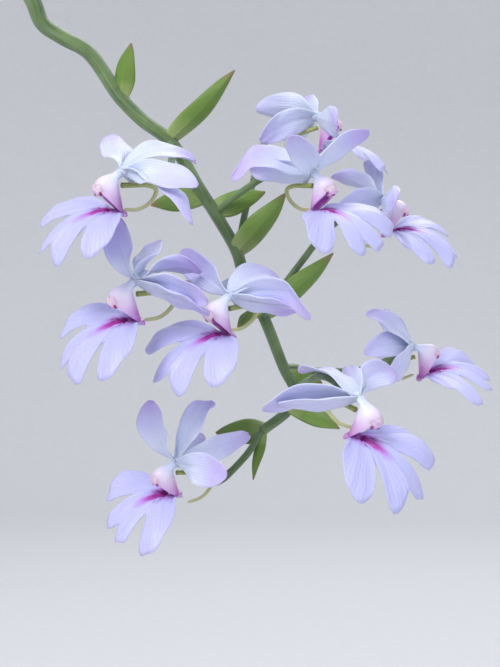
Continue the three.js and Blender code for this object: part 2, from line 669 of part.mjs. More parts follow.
const group = new THREE.Group();
group.add(mesh('pot', potSolid(), 'pot'));
group.add(mesh('growing_medium', mediumSolid(), 'medium'));
BULBS.forEach((bulb, k) => {
  const piece = mesh(`pseudobulb_${k + 1}`, bulbSolid(bulb), 'bulb');
  piece.position.set(bulb.at[0], bulb.at[1], MEDIUM_LEVEL - HOLE_DEPTH + SEAT_GAP);
  group.add(piece);
});
group.add(mesh('scape', scapeSolid(), 'green'));
BLOOMS.forEach((bloom, k) => group.add(bloomGroup(bloom, k + 1)));

export default group;
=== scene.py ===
"""A potted calanthe orchid in flower, dressed over its solid model.

The clay pot, the bark mix, the bulbs, the scape and the nine blooms get their fine shapes and
finishes here. Tables are in millimetres and Blender's objects in metres; both share one frame,
with the pot's underside at the origin, +Z up and the blooms looked at along +Y.
"""
import math
import random

import bpy
from bpy.props import FloatProperty, FloatVectorProperty, IntProperty, PointerProperty
from mathutils import Matrix, Vector, noise


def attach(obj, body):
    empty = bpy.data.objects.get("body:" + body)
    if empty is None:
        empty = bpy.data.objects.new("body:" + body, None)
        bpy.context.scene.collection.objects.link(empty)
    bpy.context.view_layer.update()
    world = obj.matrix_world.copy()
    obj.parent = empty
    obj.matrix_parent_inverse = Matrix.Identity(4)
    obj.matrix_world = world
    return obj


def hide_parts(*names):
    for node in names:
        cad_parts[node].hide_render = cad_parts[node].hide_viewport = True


bl_info = {
    "name": "Potted Calanthe Orchid",
    "version": (1, 0, 0),
    "blender": (4, 5, 0),
    "location": "3D View > Sidebar > Calanthe",
    "description": "Dresses the solid model of a potted calanthe orchid in flower",
    "category": "Object",
}

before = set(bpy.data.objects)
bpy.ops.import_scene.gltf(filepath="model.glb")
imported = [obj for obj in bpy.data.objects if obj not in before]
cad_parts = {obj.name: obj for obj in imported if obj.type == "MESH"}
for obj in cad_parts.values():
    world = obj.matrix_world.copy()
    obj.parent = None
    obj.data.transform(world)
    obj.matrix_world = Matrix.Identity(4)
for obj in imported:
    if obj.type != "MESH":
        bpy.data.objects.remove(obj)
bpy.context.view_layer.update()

MM = 0.001
TAU = 2 * math.pi

# Pot and bark mix, as the solid model has them
POT_PROFILE = [
    (43, 0), (45, 2), (60, 90), (67, 91.5), (68, 113), (66, 115), (62, 115), (60.5, 113), (55, 90),
    (40, 8),
]
POT_FLOOR = 8
POT_EDGE = 0.8
POT_SIDES = 128
DRAIN_HOLES = 3
DRAIN_HOLE_RADIUS = 5
DRAIN_CIRCLE_RADIUS = 24
MIX_LEVEL = 103
MIX_RADIUS = 57
# Bark chips: least and greatest half length, half width and half thickness
CHIP_SIZES = ((3.2, 7.5), (2.2, 4.2), (1.1, 2.2))
CHIP_HEIGHTS = (0.6, 3.2)
CHIP_TILT = 0.25
CHIP_LEAN = 0.22

# Pseudobulbs: foot, height, greatest radius and turn
BULBS = [
    ((-11, 0, 91.3), 92, 19, 0.2),
    ((15, -34, 91.3), 78, 16, 0.9),
    ((8, 37, 91.3), 70, 15, 1.7),
]
BULB_PROFILE = [
    (0, 0.5), (0.08, 0.84), (0.24, 1), (0.42, 0.86), (0.58, 0.66), (0.74, 0.6), (0.88, 0.42),
    (0.97, 0.2),
]
BULB_SIDES = 72
BULB_STEPS = 70
BULB_RIBS = 6
BULB_RIB_DEPTH = 0.07
BULB_WRINKLE = 0.012
# Ring scars left by old leaves, placed and sized by shares of the bulb's height
BULB_NODES = (0.14, 0.33, 0.52, 0.7, 0.86)
SCAR_WIDTH = 0.007
SCAR_HEIGHT = 0.035
GROOVE_ABOVE = 0.018
GROOVE_WIDTH = 0.009
GROOVE_DEPTH = 0.8
# Collars: foot, rise, tear and fray are shares of the bulb's height
COLLAR_FOOT = 0.1
COLLAR_RISE = 0.2
COLLAR_STEPS = 12
COLLAR_THICKNESS = 0.35
COLLAR_CLEARANCE = 0.7
COLLAR_FLARE = 0.8
COLLAR_CRINKLE = 0.25
COLLAR_TEAR = 0.11
COLLAR_FRAY = 0.035

# Scape: its centre line from the mix over the arch and down the raceme
SCAPE_PATH = [
    (14, 0, 94), (15, 0, 200), (20, 0, 300), (30, 0, 380), (49, 0, 450), (77, 0, 489), (108, 0, 498),
    (136, 0, 479), (158.1, 0, 440.1), (161.4, 0.5, 432.5), (168, 0.6, 427.8), (176.5, 0.4, 422.9),
    (187.1, -0.6, 408), (194.4, 0, 400.5), (203.6, 0.8, 393.5), (213.5, -0.6, 377.4), (218.4, 0, 369.8),
    (225.7, 0.8, 356.9), (228.7, 0, 346), (234.3, -0.8, 335.8), (241.2, 0.6, 318.6), (244.8, 0, 310.7),
    (243.2, 0, 305.4), (234, 0, 297.8),
]
SCAPE_FOOT_RADIUS = 3.3
SCAPE_MIDDLE_RADIUS = 2.1
SCAPE_END_RADIUS = 1.6
SCAPE_MIDDLE_SHARE = 0.62
SCAPE_RIB = 0.035
SCAPE_SAMPLES = 600
# Sheaths on the lower scape: share of the curve where each begins, and its length
SHEATHS = [(0.03, 34), (0.17, 40), (0.34, 38)]
SHEATH_CLEARANCE = 0.9
SHEATH_SLANT = 0.3
SHEATH_TAPER = 0.35
SHEATH_STEPS = 18
SHEATH_SIDES = 28

# Bracts: foot, tip, width and the way that the hollow side faces
BRACTS = [
    ((187.5, -1, 408), (191, -4, 425), 7.4, (-0.3, -1, 0.2)),
    ((203.8, 0, 394), (225, -5, 416), 7.6, (0.5, -1, -0.4)),
    ((214.5, 0, 376), (197.5, -2, 372), 9, (0, -1, 0.5)),
    ((218, 0, 371), (235, 3, 377), 8.6, (-0.2, -1, 0.3)),
    ((225.5, 0, 357), (241.8, -3, 376), 9, (0.4, -1, -0.3)),
    ((234.3, 0, 336), (257.5, 1, 356.5), 8.4, (0.4, -1, -0.3)),
    ((233.5, -1, 339), (226, -12, 332), 6.4, (0.3, 0.2, 1)),
    ((241.5, 0, 318), (254, 5, 313.5), 7.4, (0, -1, 0.5)),
    ((243.5, -1, 307), (259, -8, 299), 8, (0.2, -1, 0.6)),
    ((235, 0, 298), (218.6, 4, 297), 8.4, (0.1, -1, 0.2)),
    ((234.6, 0, 298), (231, -2, 282), 3.6, (-0.4, -1, 0)),
]
BRACT_FULLEST = 0.42
BRACT_BLUNTNESS = 0.95
BRACT_ARCH = 0.06
BRACT_FOLD = 0.5
BRACT_FOLD_WIDTH = 0.14
BRACT_WAVE = 0.3
BRACT_CUPPING = 0.35
BRACT_STEPS = 26
BRACT_STRIPS = 12
PEDICEL_RADIUS = 1.15
OVARY_RADIUS = 1.65
OVARY_NECK_RADIUS = 0.9
OVARY_LENGTH = 16
OVARY_NECK_FROM = 0.85
OVARY_RIB = 0.09
OVARY_GAP = 1.2

# Blooms: the seat is where the tepals meet. Forward runs along the column and the lip, and up is
# the back of the bloom. A tepal is (azimuth from up, reflex, curl, droop, length, roll), and a
# hooked one has the drop of its tip as a seventh number: droop, length and drop in millimetres,
# the others in degrees.
BLOOMS = [
    {
        "seat": (190.2, -36, 379.2), "forward": (-0.82, -0.32, -0.47),
        "up": (-0.26, -0.51, 0.82), "size": 0.96, "node": (203.6, 0.8, 393.5),
        "ovary": (0.79, 0.61, 0.01), "spur_end": (-4, 0),
        "dorsal": (-14, 67, 86, 0, 26, 28),
        "petals": ((96, 40, 2, 5, 24, -80), (-73, 27, -10, 2, 21, -71)),
        "sepals": ((114, 52, -60, 2, 26, 50, 4), (-125, 35, 10, 0, 24, 0)),
    },
    {
        "seat": (194.3, -34, 345.8), "forward": (-0.81, -0.23, -0.54),
        "up": (-0.35, -0.54, 0.76), "size": 0.99, "node": (228.7, 0, 346),
        "ovary": (0.79, 0.61, -0.03), "spur_end": (-4, -2),
        "dorsal": (-2, 83, 47, 4, 22, -51),
        "petals": ((110, 48, -32, 1, 24, -13), (-53, 3, 32, 0, 22, 57)),
        "sepals": ((125, 35, 0, 3, 23, 0), (-85, 50, -12, 5, 26, 80)),
    },
    {
        "seat": (223.1, -28, 341.4), "forward": (-0.73, -0.42, -0.54),
        "up": (-0.27, -0.55, 0.79), "size": 0.96, "node": (234.3, -0.8, 335.8),
        "ovary": (0.76, 0.65, 0.04), "spur_end": (-4, 0),
        "dorsal": (8, 60, 75, 6, 23, 20),
        "petals": ((92, 58, -30, 5, 25, -10, 5), (-59, -2, 0, 0, 21, 32)),
        "sepals": ((124, 38, 0, 0, 21, 0), (-124, 34, 10, 0, 24, 0)),
    },
    {
        "seat": (250.1, -24, 380.1), "forward": (0.71, -0.50, -0.51),
        "up": (0.26, -0.49, 0.83), "size": 0.91, "node": (218.4, 0, 369.8),
        "ovary": (-0.65, 0.74, 0.17), "spur_end": (4, 0),
        "dorsal": (-35, 9, 1, 5, 22, -53),
        "petals": ((61, 24, -55, 0, 25, 5), (-77, 62, -30, 6, 27, 60, 6)),
        "sepals": ((120, 36, 10, 0, 24, 0), (-116, 62, 20, 5, 21, 9)),
    },
    {
        "seat": (253.4, 18, 404), "forward": (0.93, -0.25, -0.27),
        "up": (0.25, -0.11, 0.96), "size": 0.85, "node": (225.7, 0.8, 356.9),
        "ovary": (-0.91, 0.40, -0.12), "spur_end": (0, -2),
        "dorsal": (22, 72, 48, 1, 21, 45),
        "petals": ((80, 25, 10, 0, 23, 0), (-95, -36, 15, 0, 27, 19)),
        "sepals": ((118, 30, 0, 0, 23, 0), (-128, 56, -38, 2, 22, 34)),
    },
    {
        "seat": (274.9, 8, 374.8), "forward": (0.93, -0.18, -0.31),
        "up": (0.21, -0.41, 0.89), "size": 0.88, "node": (234.3, -0.8, 335.8),
        "ovary": (-0.91, 0.21, -0.36), "spur_end": (4, -6),
        "dorsal": (20, 62, 15, 6, 21, 39),
        "petals": ((81, 25, 10, 0, 23, 0), (-71, -12, -10, 0, 25, 0)),
        "sepals": ((118, 32, 10, 0, 23, 0), (-90, 34, -12, 0, 21, 15)),
    },
    {
        "seat": (206, -16, 288.5), "forward": (-0.85, -0.16, -0.50),
        "up": (-0.31, -0.61, 0.73), "size": 0.89, "node": (234, 0, 297.8),
        "ovary": (0.80, 0.45, -0.39), "spur_end": (-5, -10),
        "dorsal": (-18, 47, 8, 5, 29, 27, 3),
        "petals": ((74, 19, 0, 0, 27, -39), (-39, -16, 55, 3, 24, 49)),
        "sepals": ((90, 76, 45, 8, 29, 0), (-107, 54, -15, 4, 20, 2)),
    },
    {
        "seat": (285.2, 10, 325.5), "forward": (0.99, 0, -0.08),
        "up": (0.06, -0.43, 0.90), "size": 0.86, "node": (241.2, 0.6, 318.6),
        "ovary": (-0.87, 0.18, -0.46), "spur_end": (4, 0),
        "dorsal": (-5, 39, 3, 8, 26, -10),
        "petals": ((86, 25, 10, 0, 22, 0), (-93, 16, 18, 0, 21, 4)),
        "sepals": ((120, 30, 10, 0, 23, 0), (-54, 54, -10, 6, 22, 22)),
    },
    {
        "seat": (263.8, -34, 309.9), "forward": (0.64, -0.36, -0.68),
        "up": (0.40, -0.60, 0.70), "size": 1, "node": (244.8, 0, 310.7),
        "ovary": (-0.59, 0.69, 0.42), "spur_end": (5, 0),
        "dorsal": (-12, 82, 76, 0, 26, 30),
        "petals": ((62, 37, -45, 8, 21, -50), (-123, 63, -36, 6, 29, 16)),
        "sepals": ((118, 35, 10, 0, 24, 0), (-126, 32, 10, 0, 24, 0)),
    },
]
# Petals and sepals: where each kind is fullest, as a share of its length
PETAL_FULLEST = 0.58
DORSAL_FULLEST = 0.48
SEPAL_FULLEST = 0.46
BLADE_BLUNTNESS = 0.62
BLADE_OUTLINE_FROM_TO = (0.02, 0.985)
BLADE_FOOT_SHARE = 0.34
BLADE_CUPPING = 0.22
BLADE_START = 0.3
BLADE_LEAD = 0.8
BLADE_STRIPS = 14
ROLL_DONE = 0.45
HOOK_START = 0.72
MARGIN_THINNING = 0.6
TIP_THINNING = 0.35
MARGIN_WAVE = 0.5
CHANNEL_DEPTH = 0.5
CHANNEL_WIDTH = 0.16
RECEPTACLE_RADIUS = 2.1
RECEPTACLE_BACK = 0.7
KNOB_SIZE = (1.5, 1.7, 1.7)

# Lip: half of its outline as (degrees from the middle line, radius) about the throat
LIP_CENTRE = 6.5
LIP_OUTLINE = [
    (0, 22.4), (3, 24), (7, 25.8), (12, 26.4), (17, 26), (20.5, 24.4), (22.6, 21), (24, 17.4),
    (25.8, 14.4), (28.5, 13.2), (31.2, 14.4), (33, 17.4), (34.4, 21), (36.5, 24.4), (40.5, 26.4),
    (45, 27), (51, 26.8), (57, 25.2), (63, 22), (71, 17.5), (79, 12.5), (87, 7.8), (102, 4.4),
    (140, 3),
]
LIP_BACK_RADIUS = 2.6
LIP_CREST = (17, -7.9)
LIP_BACK_FALL = 0.028
LIP_FRONT_FALL = 0.024
LIP_LEVEL_AT = 14.3
LIP_SIDE_FALL = 0.00065
LIP_PLAN = 30
LIP_THINNING = 0.55
LIP_FINENESS = 4
LIP_RING_START = 0.05
LOBE_ARCH = 0.9
LOBE_FOLD = 0.35
LOBE_TIP_FALL = 0.6
EDGE_WAVE = 0.65
FINE_WAVE = 0.16
KEEL_HEIGHT = 0.55
KEEL_SPACING = 2.6
SHOULDER_RISE = 1.1
SHOULDER_AT = 86
SHOULDER_WIDTH = 16
# Lobes as (degrees from the middle line, half width in degrees)
SIDE_LOBE = (49, 20)
MIDDLE_LOBE = (0, 29)

# Claw and column, as (forward, up)
FUNNEL_ROOT_TOP = (2.1, 1)
FUNNEL_ROOT_BOTTOM = (1.7, -1.7)
COLUMN_TIP = (9.9, -0.2)
CLAW_END = (3.7, -14.3)
FUNNEL_ROOT_HALF_WIDTH = 1.8
FUNNEL_MOUTH_HALF_WIDTH = 4.1
COLUMN_SWELL = 1.2
FUNNEL_SIDE_SWELL = 0.7
SWELL_EASE = 1.2
COLUMN_THICKNESS = 0.24
CLAW_WALL = 0.12
MOUTH_DEPTH_SHARE = 0.5
FUNNEL_SIDES = 36
FUNNEL_STEPS = 16
THROAT_STEPS = 8
CAP_TILT = 42
CAP_SIZE = (2.3, 2.9, 2.5)
CAP_SPOTS = [
    ((0.9, -2.45, 0.2), (0.8, 0.36, 0.85)), ((0.9, 2.45, 0.2), (0.8, 0.36, 0.85)),
    ((2.05, 0, 0.5), (0.4, 0.9, 0.6)),
]
FOLD_SIZE = (1.0, 2.6, 1.5)
CAP_INSET = 1.7
ROOT_RADIUS = 1.5
ROOT_BACK = 0.4
# The rolled rim, as arguments for a ring: share, and trims at the top, bottom and sides
RIM_RINGS = [(1.015, 0.015, 0.012, 0.02), (1.02, 0.06, 0.05, 0.1)]

# Spur: its middle line as (forward, up), in its bloom's axes
SPUR_PATH = [
    (0.8, -4.2), (-3.2, -6.4), (-7.8, -9), (-10.4, -12.2), (-8.2, -15.2), (-3.4, -16.2), (1.8, -14),
]
SPUR_ROOT_RADIUS = 0.9
SPUR_TIP_RADIUS = 0.6
SPUR_BLUNT_FROM = 0.97

# Background paper: a floor that sweeps up into a round wall, just clear of the pot's underside
SWEEP_RADIUS = 900
SWEEP_STEPS = 12
WALL_HEIGHT = 3600
PAPER_SIDES = 96
PAPER_GAP = 0.2

# The photograph's frame: 220 mm of height half a metre from the camera
CAMERA_PLACE = (230, -500, 330)
FRAME_HEIGHT = 220
SENSOR = 36
AIM = Vector((0.2, 0, 0.3))
# Lights: name, place, size, the setting for their power, and colour. Places and sizes in metres
LIGHTS = [
    ("key_light", (-0.9, -1.6, 1.9), 1.1, "key_power", "#fffdfb"),
    ("fill_light", (1.9, -1.2, 0.9), 1.2, "fill_power", "#eef3ff"),
    ("back_light", (0.8, 1.6, 2.1), 1.0, "back_power", "#ffffff"),
]
UP = Vector((0, 0, 1))


def linear(hex_colour):
    """An sRGB hex colour as linear red, green, blue and alpha."""
    channels = [int(hex_colour[k:k + 2], 16) / 255 for k in (1, 3, 5)]
    return (*[c / 12.92 if c <= 0.04045 else ((c + 0.055) / 1.055) ** 2.4 for c in channels], 1.0)


def mix(a, b, share):
    return a + (b - a) * share


def smoothstep(value, low, high):
    """Zero below low, one above high, and an eased rise between them."""
    t = min(max((value - low) / (high - low), 0), 1)
    return t * t * (3 - 2 * t)


def spline(points, t):
    """The point at t, from 0 to 1, on a centripetal Catmull-Rom curve through the points."""
    spans = len(points) - 1
    place = min(max(t, 0), 1) * spans
    i = min(int(place), spans - 1)
    w = place - i
    p1, p2 = points[i], points[i + 1]
    p0 = points[i - 1] if i > 0 else p1 * 2 - p2
    p3 = points[i + 2] if i + 2 <= spans else p2 * 2 - p1
    d0, d1, d2 = [max((b - a).length, 1e-4) ** 0.5 for a, b in ((p0, p1), (p1, p2), (p2, p3))]
    m1 = ((p1 - p0) / d0 - (p2 - p0) / (d0 + d1) + (p2 - p1) / d1) * d1
    m2 = ((p2 - p1) / d1 - (p3 - p1) / (d1 + d2) + (p3 - p2) / d2) * d1
    return p1 + m1 * w + (p2 * 3 - p1 * 3 - m1 * 2 - m2) * w ** 2 + (p1 * 2 - p2 * 2 + m1 + m2) * w ** 3


# Meshes. A shell is (points, faces, corners): corners has, for each face, one dict per corner
# from a UV map's name to its place there.

def polar(angle, radius, height=0):
    """A point by its angle and radius round the upright axis."""
    return Vector((math.cos(angle) * radius, math.sin(angle) * radius, height))


def ring_of(sides, point_at):
    """Points all round, from a function of the angle."""
    return [point_at(TAU * j / sides) for j in range(sides)]


def length_girth(steps, sides):
    """A corner function: shares along a form and round it."""
    return lambda i, j: {"length_girth": (i / steps, j / sides)}


def skin(rows, wrap, corner_at, closed_start=False, closed_end=False):
    """A shell over rows of points. Wrapped rows are rings; a closed end gets a fan."""
    columns = len(rows[0])
    points = [p for row in rows for p in row]
    faces, corners = [], []
    last = columns if wrap else columns - 1
    for i in range(len(rows) - 1):
        for j in range(last):
            k = (j + 1) % columns
            a, b = i * columns, (i + 1) * columns
            faces.append((a + j, a + k, b + k, b + j))
            around = ((i, j), (i, j + 1), (i + 1, j + 1), (i + 1, j))
            corners.append([corner_at(*place) for place in around])
    for wanted, i in ((closed_start, 0), (closed_end, len(rows) - 1)):
        if not wanted:
            continue
        points.append(sum(rows[i], Vector()) / columns)
        for j in range(columns):
            pair = (i * columns + j, i * columns + (j + 1) % columns)
            faces.append((*(reversed(pair) if i == 0 else pair), len(points) - 1))
            corners.append([corner_at(i, j), corner_at(i, j + 1), corner_at(i, j)])
    return points, faces, corners


def blade(grid, thickness_at, corner_at):
    """A closed shell of the given thickness about a grid of points."""
    rows, columns = len(grid), len(grid[0])
    points = []
    for sign in (1, -1):
        for i in range(rows):
            for j in range(columns):
                along = grid[min(i + 1, rows - 1)][j] - grid[max(i - 1, 0)][j]
                across = grid[i][min(j + 1, columns - 1)] - grid[i][max(j - 1, 0)]
                normal = along.cross(across).normalized()
                points.append(grid[i][j] + normal * (sign * thickness_at(i, j) / 2))
    under = rows * columns
    faces, corners = [], []
    for i in range(rows - 1):
        for j in range(columns - 1):
            a = i * columns + j
            b = a + columns
            around = [corner_at(i, j), corner_at(i + 1, j), corner_at(i + 1, j + 1), corner_at(i, j + 1)]
            faces += [(a, b, b + 1, a + 1), (a + under, a + 1 + under, b + 1 + under, b + under)]
            corners += [around, [around[0], *around[:0:-1]]]
    rim = [(0, j) for j in range(columns - 1)] + [(i, columns - 1) for i in range(rows - 1)]
    rim += [(rows - 1, j) for j in range(columns - 1, 0, -1)] + [(i, 0) for i in range(rows - 1, 0, -1)]
    for (i, j), (k, m) in zip(rim, rim[1:] + rim[:1]):
        a, b = i * columns + j, k * columns + m
        faces.append((a, b, b + under, a + under))
        corners.append([corner_at(i, j), corner_at(k, m), corner_at(k, m), corner_at(i, j)])
    return points, faces, corners


def tube(centre_at, radius_at, steps, sides):
    """A round closed rod along centre_at. radius_at gets the share along it and the angle."""
    rows = []
    normal = None
    for i in range(steps + 1):
        t = i / steps
        heading = (centre_at(min(t + 0.001, 1)) - centre_at(max(t - 0.001, 0))).normalized()
        if normal is None:
            normal = Vector((0, 1, 0)).cross(heading).normalized()
        normal = (normal - heading * normal.dot(heading)).normalized()
        side = heading.cross(normal)
        centre = centre_at(t)

        def on_wall(angle):
            return centre + (normal * math.cos(angle) + side * math.sin(angle)) * radius_at(t, angle)
        rows.append(ring_of(sides, on_wall))
    return skin(rows, True, length_girth(steps, sides), True, True)


def lump(centre, size, axes, rings=10, sides=16, rough=0.0, seed=0):
    """A closed egg or stone shape. Rough moves its surface in and out by that share."""
    rows = []
    for i in range(1, rings):
        slope = math.pi * i / rings

        def on_stone(angle):
            unit = polar(angle, math.sin(slope), math.cos(slope))
            bulge = 1 + rough * noise.noise(unit * 2.3 + Vector((seed, seed * 0.37, 0)))
            return centre + axes @ Vector([unit[k] * size[k] * bulge for k in range(3)])
        rows.append(ring_of(sides, on_stone))
    return skin(rows, True, length_girth(rings, sides), True, True)


def make_piece(name, shells, materials, sharp=False):
    """One object from shells, each given as (shell, index of its material)."""
    points, faces, corners, indices = [], [], [], []
    for (shell_points, shell_faces, shell_corners), index in shells:
        offset = len(points)
        points += [p * MM for p in shell_points]
        faces += [tuple(k + offset for k in face) for face in shell_faces]
        corners += shell_corners
        indices += [index] * len(shell_faces)
    mesh = bpy.data.meshes.new(name)
    mesh.from_pydata(points, [], faces)
    for map_name in dict.fromkeys(key for face in corners for corner in face for key in corner):
        layer = mesh.uv_layers.new(name=map_name)
        flat = [corner.get(map_name, (0, 0)) for face in corners for corner in face]
        layer.data.foreach_set("uv", [number for pair in flat for number in pair])
    mesh.polygons.foreach_set("material_index", indices)
    mesh.polygons.foreach_set("use_smooth", [not sharp] * len(faces))
    for material in materials:
        mesh.materials.append(material)
    mesh.update()
    piece = bpy.data.objects.new(name, mesh)
    bpy.context.collection.objects.link(piece)
    return piece


def seat_piece(piece, node):
    """The piece moves with the plant and stands for a node."""
    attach(piece, "root")
    if node:
        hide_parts(node)


# Materials

def add(tree, kind, settings=None):
    """One node. A setting is an attribute, an input's value, or the node or output linked there."""
    made = tree.nodes.new(kind)
    for key, value in (settings or {}).items():
        if isinstance(value, bpy.types.Node):
            value = value.outputs[0]
        if isinstance(value, bpy.types.NodeSocket):
            tree.links.new(value, made.inputs[key])
        elif key == "stops":
            elements = made.color_ramp.elements
            elements.remove(elements[-1])
            elements[0].position, elements[0].color = value[0]
            for position, colour in value[1:]:
                elements.new(position).color = colour
        elif isinstance(key, str) and hasattr(made, key):
            setattr(made, key, value)
        else:
            made.inputs[key].default_value = value
    return made


def start_material(name, roughness, ior=1.5):
    material = bpy.data.materials.new(name)
    material.use_nodes = True
    surface = material.node_tree.nodes["Principled BSDF"]
    surface.inputs["Roughness"].default_value = roughness
    surface.inputs["IOR"].default_value = ior
    return material, material.node_tree, surface


def soft_tissue(name, roughness, weight, depth_mm):
    """Live petal or leaf: waxy gloss over a body that lets a little light through."""
    material, tree, surface = start_material(name, roughness, 1.4)
    surface.inputs["Subsurface Weight"].default_value = weight
    surface.inputs["Subsurface Radius"].default_value = (1.0, 0.8, 0.9)
    surface.inputs["Subsurface Scale"].default_value = depth_mm * MM
    return material, tree, surface


def set_sheen(surface, weight, roughness):
    surface.inputs["Sheen Weight"].default_value = weight
    surface.inputs["Sheen Roughness"].default_value = roughness


def per_mm(size_mm):
    """A texture scale whose pattern repeats about once in that many millimetres."""
    return 1 / (size_mm * MM)


def dress(tree, surface, colour, height, distance_mm, strength):
    """Gives a surface its colour and its relief."""
    bump = add(tree, "ShaderNodeBump", {
        "Strength": strength, "Distance": distance_mm * MM, "Height": height})
    tree.links.new(colour, surface.inputs["Base Color"])
    tree.links.new(bump.outputs["Normal"], surface.inputs["Normal"])


def dress_petal(tree, surface, wash, veins, colour, depth):
    """Sunk veins, slightly deeper in colour, between cells that give a faint sparkle."""
    set_sheen(surface, 0.15, 0.4)
    faint = add(tree, "ShaderNodeMath", {"operation": "MULTIPLY", 0: veins, 1: depth})
    lined = add(tree, "ShaderNodeMix", {"data_type": "RGBA", 0: faint, 6: wash, 7: colour})
    where = add(tree, "ShaderNodeTexCoord").outputs["Object"]
    # Cells drawn at half a millimetre, coarser than real ones, so that they show at all
    cells = add(tree, "ShaderNodeTexVoronoi", {"Scale": per_mm(0.5), "Vector": where})
    grain = add(tree, "ShaderNodeMath", {"operation": "MULTIPLY", 0: cells, 1: 0.35})
    height = add(tree, "ShaderNodeMath", {"operation": "SUBTRACT", 0: grain, 1: veins})
    dress(tree, surface, lined.outputs[2], height, 0.12, 0.6)


def wander(tree, share, cloud, swing, back):
    """A share whose bounds wander with a cloudy pattern."""
    shift = add(tree, "ShaderNodeMath", {
        "operation": "MULTIPLY_ADD", 0: cloud, 1: swing, 2: -back})
    return add(tree, "ShaderNodeMath", {"operation": "ADD", 0: share, 1: shift})


def waves(tree, share, count):
    """Rises and falls that many times while the share goes from 0 to 1."""
    phase = add(tree, "ShaderNodeMath", {"operation": "MULTIPLY", 0: share, 1: count * TAU})
    return add(tree, "ShaderNodeMath", {"operation": "SINE", 0: phase})


def petal_tissue(settings):
    # Thin live petal: white with a cold tinge near its foot, lilac towards its tip, with fine
    # parallel veins that show as slightly deeper lines and a faint sparkle from its cells
    material, tree, surface = soft_tissue("live petal, white to lilac", 0.45, 0.3, 1.2)
    place = add(tree, "ShaderNodeUVMap", {"uv_map": "along_across"})
    parts = add(tree, "ShaderNodeSeparateXYZ", {"Vector": place}).outputs
    where = add(tree, "ShaderNodeTexCoord").outputs["Object"]
    # Patches of 20 mm, so that one petal is whiter and the next more lilac
    cloud = add(tree, "ShaderNodeTexNoise", {"Scale": per_mm(20), "Detail": 4, "Vector": where})
    wash = add(tree, "ShaderNodeValToRGB", {"Fac": wander(tree, parts["X"], cloud, 1.1, 0.6), "stops": [
        (0.0, settings.petal_foot), (0.28, settings.petal_middle),
        (0.62, settings.petal_body), (1.0, settings.petal_tip)]})
    # Eleven veins across a petal of 10.5 mm: one for each millimetre
    bend = add(tree, "ShaderNodeTexNoise", {"Scale": per_mm(9), "Detail": 1, "Vector": where})
    lanes = add(tree, "ShaderNodeMath", {
        "operation": "MULTIPLY_ADD", 0: bend, 1: 0.12, 2: parts["Y"]})
    veins = add(tree, "ShaderNodeMapRange", {
        "From Min": 0.55, "From Max": 1.0, "Value": waves(tree, lanes, 11)})
    dress_petal(tree, surface, wash, veins, settings.petal_vein, 0.16)
    return material


def lip_ellipse(tree, plan, middle, half_long, half_wide):
    """Distance from an ellipse's middle over the lip's plan, 1 at its edge. In millimetres."""
    place = add(tree, "ShaderNodeMapping", {
        "Location": (-middle / half_long, 0, 0), "Vector": plan,
        "Scale": (LIP_PLAN / half_long, LIP_PLAN / half_wide, 1)})
    away = add(tree, "ShaderNodeVectorMath", {"operation": "LENGTH", 0: place})
    return away.outputs["Value"]


def lip_tissue(settings):
    # The same live petal, but magenta deep in the throat, with a pink streak along its middle
    # that fades into lilac, and veins that fan out into its lobes
    material, tree, surface = soft_tissue("live lip, lilac with magenta throat", 0.45, 0.3, 1.2)
    plan = add(tree, "ShaderNodeUVMap", {"uv_map": "plan"})
    ray = add(tree, "ShaderNodeUVMap", {"uv_map": "ray"})
    where = add(tree, "ShaderNodeTexCoord").outputs["Object"]
    cloud = add(tree, "ShaderNodeTexNoise", {"Scale": per_mm(5), "Detail": 3, "Vector": where})
    throat, streak = lip_ellipse(tree, plan, 2.2, 7.5, 5.5), lip_ellipse(tree, plan, 5.5, 10, 3.2)
    least = add(tree, "ShaderNodeMath", {"operation": "SMOOTH_MIN", 0: throat, 1: streak, 2: 0.3})
    wash = add(tree, "ShaderNodeValToRGB", {"Fac": wander(tree, least, cloud, 0.45, 0.2), "stops": [
        (0.0, settings.throat), (0.3, settings.throat_edge), (0.62, settings.lip_blush),
        (1.0, settings.lip_body)]})
    parts = add(tree, "ShaderNodeSeparateXYZ", {"Vector": ray}).outputs
    # Ninety veins round the whole circle stand about a millimetre apart half-way out
    lanes = add(tree, "ShaderNodeMath", {
        "operation": "MULTIPLY_ADD", 0: cloud, 1: 0.02, 2: parts["Y"]})
    crest = add(tree, "ShaderNodeMapRange", {
        "From Min": 0.4, "From Max": 1.0, "Value": waves(tree, lanes, 90)})
    margin = add(tree, "ShaderNodeMapRange", {
        "From Min": 0.25, "From Max": 0.6, "Value": parts["X"]})
    veins = add(tree, "ShaderNodeMath", {"operation": "MULTIPLY", 0: crest, 1: margin})
    dress_petal(tree, surface, wash, veins, settings.petal_vein, 0.1)
    return material


